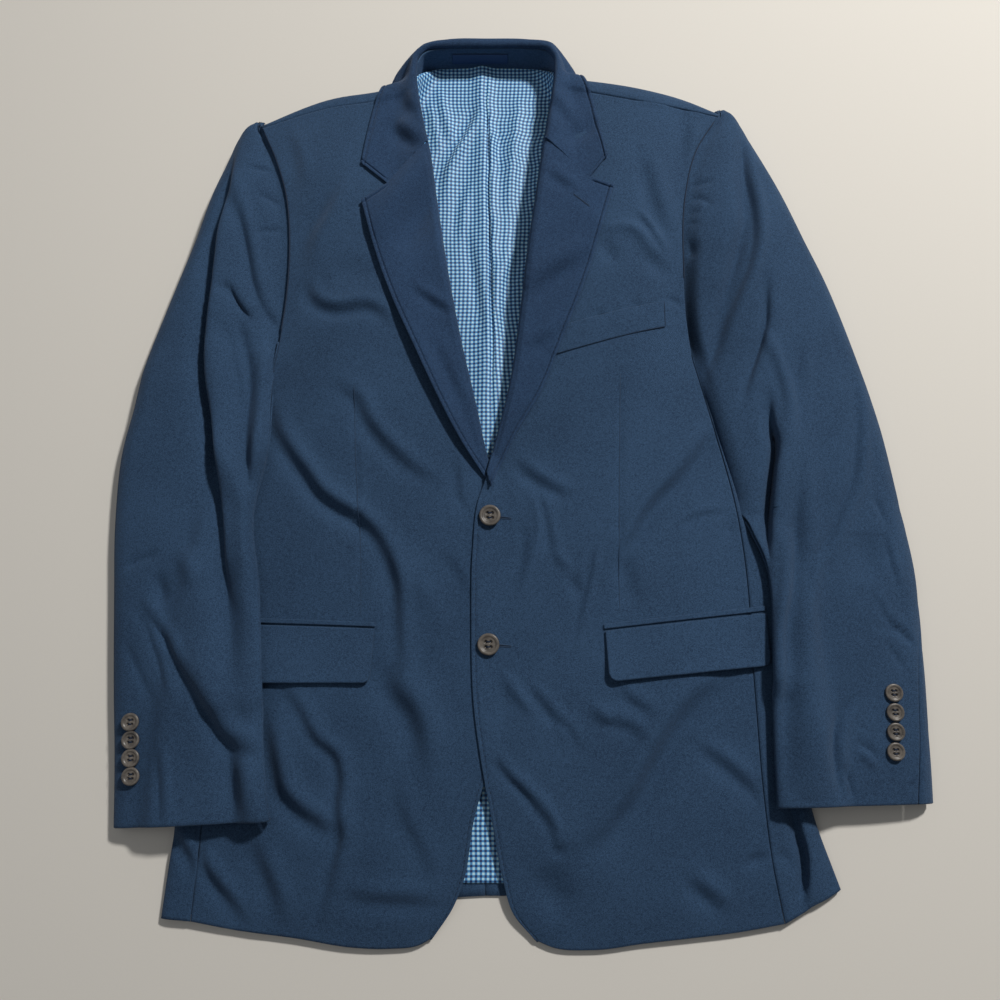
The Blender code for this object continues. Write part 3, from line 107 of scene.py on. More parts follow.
# Side edge of the body, a row for each level from hem to underarm: where the cloth turns
# under, and where the side panel meets the back beneath.
Side = namedtuple("Side", "level turn_x turn_y under_x under_y")
LEFT_SIDE = (
    Side(0.00, -287, 24, -236, 30),
    Side(0.12, -281, 96, -236, 98),
    Side(0.30, -276, 190, -232, 190),
    Side(0.50, -265, 280, -222, 280),
    Side(0.75, -241, 400, -208, 402),
    Side(0.92, -224, 486, -198, 490),
    Side(1.00, -217, 524, -198, 528),
)
RIGHT_SIDE = (
    Side(0.00, 270.5, 46, 214, 40),
    Side(0.12, 252, 104, 210, 100),
    Side(0.30, 247, 175, 206, 172),
    Side(0.50, 237, 270, 198, 268),
    Side(0.62, 227, 322, 188, 322),
    Side(0.70, 210, 352, 181, 354),
    Side(0.78, 201.5, 384, 173, 386),
    Side(0.92, 181, 456, 158, 460),
    Side(1.00, 169, 506, 153, 512),
)
SIDE_HALF_HEM = 6.0             # height of the side edge's turn at the hem
SIDE_HALF_UNDERARM = 11.0       # and at the underarm

# Sleeve head: a row for each fifth of the armhole from the shoulder to the underarm.
Head = namedtuple("Head", "outer_x outer_y crown lap")
LEFT_HEAD = (
    Head(-267.5, 743, 27, 0), Head(-279, 712, 33, 0), Head(-290.5, 676, 36, 0),
    Head(-302.5, 627, 36, 0), Head(-317, 579, 34, 0.06), Head(-333.5, 524, 31, 0.2),
)
RIGHT_HEAD = (
    Head(228, 757, 27, 0), Head(244, 721, 34, 0), Head(263.5, 676, 38, 0), Head(282, 627, 38, 0),
    Head(301, 578, 35, 0), Head(320.5, 512, 31, 0),
)
# Sleeve: the tip where the armhole crosses the shoulder, then a row for each section
# below the underarm. crown is the height over the floor, lap is 1 where the sleeve
# lies over the body, seam is how far the elbow seam stays inside the outer edge.
Sleeve = namedtuple("Sleeve", "inner_x inner_y outer_x outer_y crown lap seam")
LEFT_TIP = Sleeve(-243, 754, -255, 754.5, 23, 0, -8)
LEFT_SLEEVE = (
    Sleeve(-215.5, 510, -338, 507, 31, 0.32, -8),
    Sleeve(-216.5, 497, -341, 494, 31, 0.44, -8),
    Sleeve(-217.5, 483, -343, 480, 31, 0.56, -8),
    Sleeve(-218, 462, -346, 458, 30, 0.7, -8),
    Sleeve(-217.5, 418, -353, 412, 28, 0.95, -8),
    Sleeve(-228, 355, -352.5, 350, 26, 1, -6),
    Sleeve(-219, 293, -347.5, 290, 25, 1, -5),
    Sleeve(-211, 212, -340, 210, 24, 1, -4),
    Sleeve(-207.5, 160, -333.5, 150, 22, 1, -4),
    Sleeve(-199, 101, -329, 94.5, 18, 1, -4),
)
RIGHT_TIP = Sleeve(203, 766.5, 217, 769.5, 23, 0, -8)
RIGHT_SLEEVE = (
    Sleeve(186, 446, 336.5, 444, 30, 0, -8),
    Sleeve(201, 384, 345.5, 384, 28, 0.1, -6),
    Sleeve(204, 364, 347.5, 366, 27, 0.3, -5),
    Sleeve(212, 344, 350.5, 346, 26, 0.8, -3),
    Sleeve(225, 300, 355, 300, 25, 1, 2),
    Sleeve(222, 224, 354, 220, 24, 1, 12),
    Sleeve(220, 160, 352, 160, 23, 1, 15),
    Sleeve(219.5, 111, 350, 114, 19, 1, 17),
)
# By side. dip is how much deeper the sleeve starts near the underarm, calm_from the share
# of the armhole above which it no longer does, and steeper how much sooner it rises from
# its seam for each mm of dip, as a share of its width.
Arm = namedtuple("Arm", "tip heads sections dip calm_from steeper")
ARMS = {
    "l": Arm(LEFT_TIP, LEFT_HEAD, LEFT_SLEEVE, 1.5, 0.5, 0.0),
    "r": Arm(RIGHT_TIP, RIGHT_HEAD, RIGHT_SLEEVE, 14.0, 0.85, 0.011),
}
# A sleeve head starts inside the armhole. Toward the underarm it comes out: by how much,
# and between which shares of the armhole.
HEAD_INSIDE = 1.5
HEAD_OUT = {"l": ((2.5, 0.0, 0.1),), "r": ((3.0, 0.3, 0.55), (2.0, 0.0, 0.1))}
CREASE = 0.24                   # share of its width in which a head rises from its seam
CROWN_DROP = 0.30               # how much lower than its crown a sleeve is at its edges
PILE_DROP = 0.1                 # the same where it lies on the body
THINNEST = 6.0                  # least thickness of a sleeve

# Neckline of each back half from the middle to the neck point. height is how far the
# cloth, which rolls up and over to the shoulder seam, has risen where it is cut off.
Neck = namedtuple("Neck", "x y height")
LEFT_NECK = (Neck(-22, 831, 0), Neck(-50, 830.5, 0), Neck(-74, 827, 2), Neck(-88, 814, 12),
             Neck(-94, 801, 22), Neck(-97, 787, 28))
RIGHT_NECK = (Neck(-22, 831, 0), Neck(6, 830.5, 0), Neck(28, 827, 2), Neck(41, 816, 12),
              Neck(46, 805, 22), Neck(49, 793, 28))
# How far the roll bulges past the shoulder seam, by the share of the seam's length.
SHOULDER_REACH = {
    "l": ((0.0, 17), (0.2, 20), (0.5, 20), (0.8, 14.5), (1.0, 9)),
    "r": ((0.0, 19), (0.2, 23), (0.5, 25), (0.8, 19.5), (1.0, 10)),
}
ROLL_LEAN = 0.35                # how far the seam lies ahead of the roll's foot, per height
SMALLEST_TURN = 0.35            # least angle that the back's upper edge turns up by
BACK_GAP = 0.4                  # gap between the back and the sleeve beneath the armhole
BACK_SEAM_X = -22.0
BACK_HEM_Y = 41.0

# Back lining, a row for each level from the hem up: only the strip that shows.
Strip = namedtuple("Strip", "y left right")
LINING_STRIPS = (
    Strip(51, -82, 28), Strip(250, -92, 38), Strip(420, -92, 44), Strip(600, -100, 52),
    Strip(740, -104, 56), Strip(785, -94, 47), Strip(806, -93, 47), Strip(818, -91, 45),
    Strip(826, -86, 40), Strip(832, -78, 32),
)
PLEAT = ((430, -23), (560, -21), (700, -25), (829, -28))    # level and x of the pleat's crest
PLEAT_HEIGHT = 4.2
PLEAT_WIDTH = 9.0
PLEAT_END, PLEAT_FULL = 430.0, 520.0    # levels where it starts and where it is full

# Lapels: the free outer edge from the break to the tip, then the top edge from the gorge.
# edge_lift is how far the free edge stands off the front, by the share of its length, and
# gorge_seam is where lapel and collar are sewn together next to the roll.
Lapel = namedtuple("Lapel", "start edge top edge_lift gorge_seam")
LAPELS = {
    "l": Lapel(
        start=(-17.5, 402),
        edge=((-22, 391), (-47, 429), (-64, 461), (-89, 514), (-107, 554), (-119, 585), (-131, 622),
              (-141, 659)),
        top=((-79, 727), (-116, 678), (-141, 659)),
        edge_lift=((0.0, 0.0), (0.08, 3.0), (0.3, 6.0), (0.5, 6.0), (0.62, 3.2), (0.8, 1.8), (1.0, 0.6)),
        gorge_seam=((-80.5, 726.0), (-92, 710.5)),
    ),
    "r": Lapel(
        start=(-22.5, 397),
        edge=((-18, 384), (6, 436), (26, 469), (47, 521), (64, 564), (76, 600), (87, 638), (98, 676)),
        top=((32, 731), (76, 686.5), (98, 676)),
        edge_lift=((0.0, 0.0), (0.3, 0.8), (0.7, 0.8), (1.0, 0.0)),
        gorge_seam=((33.5, 730.0), (46, 717)),
    ),
}
# How far a lapel is lifted over its front next to the roll, by the share of its length.
LAPEL_LIFT = ((0.0, 0.3), (0.25, 4.0), (0.5, 9.0), (0.78, 12.0), (0.93, 9.5), (1.0, 6.5))
GORGE_FADE = 0.12               # share of a lapel over which its end shape fades out

# Collar leaf, a row for each section from the left gorge round the neck to the right:
# the roll line, the height of its tip and top, the leaf's edge and how far it is turned
# down behind the neck (0 lies on the front, 1 hangs behind).
Leaf = namedtuple("Leaf", "roll_x roll_y tip top edge_x edge_y edge_z behind")
COLLAR = (
    Leaf(-79, 727, 24, 37, -143, 700, 34, 0),
    Leaf(-86, 760, 26, 37.5, -138, 738, 34, 0),
    Leaf(-91, 790, 29, 38, -131, 774, 33, 0),
    Leaf(-92, 808, 31.5, 38, -122, 800, 29, 0.3),
    Leaf(-90, 822, 31.5, 37.5, -108, 823, 17, 0.75),
    Leaf(-82, 830, 31.5, 36.5, -89, 838, 5, 1),
    Leaf(-60, 832, 31.5, 36.5, -62, 848, 1.2, 1),
    Leaf(-22, 832.5, 31.5, 36, -22, 850, 1.2, 1),
    Leaf(16, 832, 31.5, 36.5, 18, 848, 1.2, 1),
    Leaf(36, 829, 31.5, 37, 46, 842, 4, 1),
    Leaf(42, 820, 31.5, 37.5, 60, 826, 16, 0.75),
    Leaf(43, 804, 31.5, 38, 72, 804, 29, 0.3),
    Leaf(41, 785, 28, 38, 80, 778, 33, 0),
    Leaf(37, 762, 26, 37.5, 86, 748, 34, 0),
    Leaf(32, 731, 24, 37, 93, 709, 34, 0),
)
LEFT_NOTCH = (-116, 678)
RIGHT_NOTCH = (76, 686.5)
NOTCH_FADE = 0.16               # share of the collar over which its end shape fades out

# Collar stand inside the back neck: foot and top of the band.
Stand = namedtuple("Stand", "foot_x foot_y foot_z top_x top_y")
STAND = (
    Stand(-96, 801, 24, -94, 804),
    Stand(-92, 814, 13, -91, 816),
    Stand(-82, 826, 4, -83, 828),
    Stand(-60, 830, 2.6, -60, 832),
    Stand(-22, 830.5, 2.6, -22, 832.5),
    Stand(16, 830, 2.6, 16, 832),
    Stand(36, 826, 4, 37, 828),
    Stand(45, 814, 13, 44, 816),
    Stand(48, 802, 24, 46, 804),
)
STAND_TOP = 31.0
Label = namedtuple("Label", "left right bottom top")
LABEL = Label(-58, -2, 11.0, 24.0)

# Pockets: four corners seen from above, from the top left one round to the bottom left.
RIGHT_FLAP = ((80, 256), (221, 272), (222, 227), (83, 213))
LEFT_FLAP = ((-252, 263), (-117.5, 258), (-120, 212), (-250, 212))
RIGHT_JET = ((79, 262), (221, 278.5), (221, 274), (79, 257.5))
LEFT_JET = ((-252, 268.5), (-117, 263.5), (-117, 259.5), (-252, 264.5))
CHEST_WELT = ((36, 533), (142, 559), (142, 534), (40, 507.5))
# How far a flap's lower edge stands off the front, by the share of its width.
RIGHT_FLAP_LIFTS = ((0.0, 4.0), (0.2, 2.2), (0.5, 1.6), (0.8, 4.6), (1.0, 1.6))
LEFT_FLAP_LIFTS = ((0.0, 1.5), (0.35, 2.6), (0.7, 1.6), (1.0, 2.8))
FLAP_CORNER = 7.0               # radius of a flap's lower corners

FRONT_BUTTONS = ((-19, 358), (-20, 245))
LEFT_CUFF_BUTTONS = ((-320, 180), (-318.5, 165.4), (-317.3, 150.8), (-316, 136.2))
RIGHT_CUFF_BUTTONS = ((322, 204), (321.5, 188), (320.5, 172), (319, 156))
BUTTONHOLES = (((-21, 358.5), (-1, 356)), ((-22, 245.5), (-1, 243.5)))
LAPEL_HOLE = ((60, 666), (74, 653))
LEFT_DART = ((-141.9, 478), (-140.7, 445), (-138.1, 398), (-135.0, 362), (-131.9, 326), (-129.9, 268))
RIGHT_DART = ((99.2, 488), (97.6, 435), (95.6, 370), (94.0, 317), (93.5, 272))
# A turned button from its dished middle over the rim to the flat back: radius and height as
# shares of half the diameter and of the thickness.
BUTTON_RINGS = ((0.0, 0.64), (0.2, 0.63), (0.3, 0.63), (0.4, 0.64), (0.5, 0.655), (0.6, 0.69), (0.66, 0.76),
                (0.71, 0.88), (0.77, 0.97), (0.84, 1.0), (0.91, 0.97), (0.97, 0.84), (1.0, 0.62),
                (0.99, 0.4), (0.94, 0.2), (0.85, 0.06), (0.7, 0.0), (0.3, 0.0), (0.0, 0.0))
BUTTON_THICKNESS = 0.17         # these three are shares of the diameter
BUTTON_HOLE = 0.085
HOLE_PLACE = 0.115

NECK_COLUMNS, SHOULDER_COLUMNS = 6, 5   # columns of a back half up to the neck point, and beyond
OVERLAP_REACH = 5               # how far out the right front keeps clear of the left one
STITCH_INSET = 4.0              # from a free edge to its row of stitches
# Cells of each surface, across and along. A back's are those below the underarm.
FRONT_CELLS, SIDE_CELLS, BACK_CELLS, LINING_CELLS = (96, 280), (32, 180), (44, 80), (72, 249)
STAND_CELLS, LABEL_CELLS = (180, 16), (56, 14)
LAPEL_ROWS, COLLAR_ROWS = 160, 280
# Distances from a free edge of the extra mesh columns that shape it.
RIM = (7.5, 6.0, 5.0, 4.5, 4.0, 3.5, 3.0, 2.2, 1.4, 0.6, 0.0)

# The tables by side, l and r as seen from above.
WORD = {"l": "left", "r": "right"}
OUTWARD = {"l": -1, "r": 1}     # sign of x away from the middle
OUTLINES = {"l": LEFT, "r": RIGHT}
SIDE_EDGES = {"l": LEFT_SIDE, "r": RIGHT_SIDE}
NECKS = {"l": LEFT_NECK, "r": RIGHT_NECK}


# ---------------------------------------------------------------- curves and tables

SAME_POINT = 1e-6               # steps shorter than this are left out of a section


def norm(v):
    return np.linalg.norm(v, axis=-1, keepdims=True)


def unit(v):
    return v / np.maximum(norm(v), 1e-9)


def hermite(knots, values, x):
    """Smooth curve through values at the knots, read at x (Catmull-Rom slopes)."""
    knots = np.asarray(knots, float)
    values = np.asarray(values, float).reshape(len(knots), -1)
    x = np.clip(np.asarray(x, float), knots[0], knots[-1])
    gaps = np.diff(knots)[:, None]
    slopes = np.diff(values, axis=0) / gaps
    tangents = np.empty_like(values)
    tangents[0], tangents[-1] = slopes[0], slopes[-1]
    tangents[1:-1] = (slopes[:-1] * gaps[1:] + slopes[1:] * gaps[:-1]) / (gaps[1:] + gaps[:-1])
    cell = np.clip(np.searchsorted(knots, x.ravel(), side="right") - 1, 0, len(knots) - 2)
    h = gaps[cell]
    t = (x.ravel()[:, None] - knots[cell][:, None]) / h
    a, b = values[cell], values[cell + 1]
    ta, tb = tangents[cell] * h, tangents[cell + 1] * h
    out = (a * (2 * t ** 3 - 3 * t ** 2 + 1) + ta * (t ** 3 - 2 * t ** 2 + t)
           + b * (3 * t ** 2 - 2 * t ** 3) + tb * (t ** 3 - t ** 2))
    return out.reshape(x.shape + (values.shape[1],))


def read_rows(rows, x):
    """The rest of a table's row, whose first value is its level, at the level x."""
    table = np.array(rows, float)
    return hermite(table[:, 0], table[:, 1:], x)


def read_value(pairs, x):
    """Value of a table of level and value at the level x."""
    return read_rows(pairs, x)[..., 0]


def run_of(path):
    """Length from a path's start to each of its points."""
    return np.concatenate(([0.0], np.cumsum(norm(np.diff(path, axis=0))[:, 0])))


def read_path(path, run, wanted):
    """Points of a path at the wanted places of its run."""
    return np.stack([np.interp(wanted, run, column) for column in path.T], axis=-1)


class Line:
    """A smooth curve through points, read by the share of its length."""

    def __init__(self, points):
        self.points = np.asarray(points, float)
        run = run_of(self.points)
        self.length = run[-1]
        self.knots = run / self.length

    def at(self, share):
        return hermite(self.knots, self.points, share)


def joined(first, second, where, share):
    """Two lines read as one, with the corner between them at share = where."""
    share = np.asarray(share, float)
    low = first.at(np.clip(share / where, 0, 1))
    high = second.at(np.clip((share - where) / (1 - where), 0, 1))
    return np.where((share <= where)[..., None], low, high)


def smooth_step(x, low, high):
    t = np.clip((np.asarray(x, float) - low) / (high - low), 0, 1)
    return t * t * (3 - 2 * t)


def coons(left, right, bottom, top, u, v):
    """Patch between four boundary curves given as functions of a share."""
    u1, v1 = u[..., None], v[..., None]
    sides = (1 - u1) * left(v) + u1 * right(v)
    ends = (1 - v1) * bottom(u) + v1 * top(u)
    flat = ((1 - u1) * (1 - v1) * bottom(0.0) + u1 * (1 - v1) * bottom(1.0)
            + (1 - u1) * v1 * top(0.0) + u1 * v1 * top(1.0))
    return sides + ends - flat


def share_grid(columns, rows):
    """Shares across and along a grid of so many cells."""
    v, u = np.meshgrid(np.linspace(0, 1, rows + 1), np.linspace(0, 1, columns + 1), indexing="ij")
    return u, v


def densify(line, step=3.0):
    """Points along a smooth line, about a step apart, and their shares of its length."""
    curve = Line(line)
    share = np.linspace(0, 1, max(int(curve.length / step), 8) + 1)
    return curve.at(share), share


def surface_normals(grid):
    """Unit normals of a fine grid, on the side of (across) x (along)."""
    return unit(np.cross(np.gradient(grid, axis=1), np.gradient(grid, axis=0)))


def resample(path, count, weight=3.0):
    """count + 1 points along a dense section, somewhat closer together where it bends."""
    path = path[np.concatenate(([True], norm(np.diff(path, axis=0))[:, 0] > SAME_POINT))]
    steps = np.diff(path, axis=0)
    ways = unit(steps)
    turn = np.arccos(np.clip((ways[:-1] * ways[1:]).sum(axis=1), -1, 1))
    cost = norm(steps)[:, 0]
    cost[:-1] += weight * turn / 2
    cost[1:] += weight * turn / 2
    run = np.concatenate(([0.0], np.cumsum(cost)))
    return read_path(path, run, np.linspace(0, run[-1], count + 1))


def inset(grid, left=0.0, right=0.0, first=0.0, last=0.0):
    """Pull a grid's edges inwards; the rows and columns next to them follow."""
    grid = grid.copy()
    turned = grid.transpose(1, 0, 2)
    for view, gap in ((turned, left), (turned[::-1], right), (grid, first), (grid[::-1], last)):
        if gap:
            way = unit(view[4] - view[0])
            for k, share in enumerate((1.0, 0.75, 0.5, 0.25)):
                view[k] += way * gap * share
    return grid


# ---------------------------------------------------------------- what lies below

RASTER_X, RASTER_Y = (-400, 400), (-20, 880)    # the raster's edges, one cell for each mm
RASTERS = {}


def lay(name, grid):
    """Keep a piece's heights on a 1 mm raster seen from above."""
    raster = np.full((RASTER_Y[1] - RASTER_Y[0] + 1, RASTER_X[1] - RASTER_X[0] + 1), 0.0, np.float32)
    steps = 4
    for i in range(steps):
        for j in range(steps):
            s, t = i / steps, j / steps
            p = ((grid[:-1, :-1] * (1 - t) + grid[:-1, 1:] * t) * (1 - s)
                 + (grid[1:, :-1] * (1 - t) + grid[1:, 1:] * t) * s).reshape(-1, 3)
            ix = np.clip(np.rint(p[:, 0] - RASTER_X[0]).astype(int), 0, raster.shape[1] - 1)
            iy = np.clip(np.rint(p[:, 1] - RASTER_Y[0]).astype(int), 0, raster.shape[0] - 1)
            np.maximum.at(raster, (iy, ix), p[:, 2].astype(np.float32))
    RASTERS[name] = raster


def spread(raster, reach):
    """Highest value within reach of each cell."""
    for axis in (0, 1):
        wide, done = raster, 0
        while done < reach:
            step = min(max(done, 1), reach - done)
            wide = np.maximum(np.maximum(np.roll(wide, step, axis), np.roll(wide, -step, axis)), wide)
            done += step
        raster = wide
    return raster


def blurred(raster, turns):
    for axis in (0, 1):
        for _ in range(turns):
            raster = (np.roll(raster, 1, axis) + 2 * raster + np.roll(raster, -1, axis)) / 4
    return raster


def cover(names, reach=3, turns=4, extra=0.0):
    """Function of x and y that gives a smooth height over the named pieces."""
    raster = np.maximum.reduce([RASTERS[n] for n in names])
    raster = blurred(spread(raster, int(reach)), turns) + extra

    def at(x, y):
        fx = np.clip(x - RASTER_X[0], 0, raster.shape[1] - 1.001)
        fy = np.clip(y - RASTER_Y[0], 0, raster.shape[0] - 1.001)
        ix, iy = fx.astype(int), fy.astype(int)
        tx, ty = fx - ix, fy - iy
        return ((raster[iy, ix] * (1 - tx) + raster[iy, ix + 1] * tx) * (1 - ty)
                + (raster[iy + 1, ix] * (1 - tx) + raster[iy + 1, ix + 1] * tx) * ty)

    return at


def height_at(below, point):
    """Height that cover's function gives at one point."""
    return float(below(np.array(point[:1]), np.array(point[1:2]))[0])


def soft_max(a, b, blend):
    return (a + b + np.sqrt((a - b) ** 2 + blend ** 2) - blend) / 2


def round_over(gap, radius):
    """Share of full height at a distance from an edge that is rounded with a radius."""
    return np.sqrt(np.clip(1 - (1 - np.minimum(gap / radius, 1)) ** 2, 0, 1))


# ---------------------------------------------------------------- folds

# A fold runs along a line seen from above. Its width is one number in mm, or one for the
# left and one for the right of the line's direction.
RIDGE, BAND, TUCK = "ridge", "band", "tuck"
Fold = namedtuple("Fold", "kind size left right line")


def fold(kind, size, width, line):
    left, right = width if isinstance(width, tuple) else (width, width)
    return Fold(kind, size, left, right, line)


def ridge(height, width, *line):
    """A ridge so many mm high, or a hollow, below 0."""
    return fold(RIDGE, height, width, line)


def band(steepness, width, *line):
    """A slope across the line, higher on its left."""
    return fold(BAND, steepness, width, line)


def tuck(depth, width, *line):
    """A groove so many mm deep, with the cloth on its left folded over it."""
    return fold(TUCK, depth, width, line)


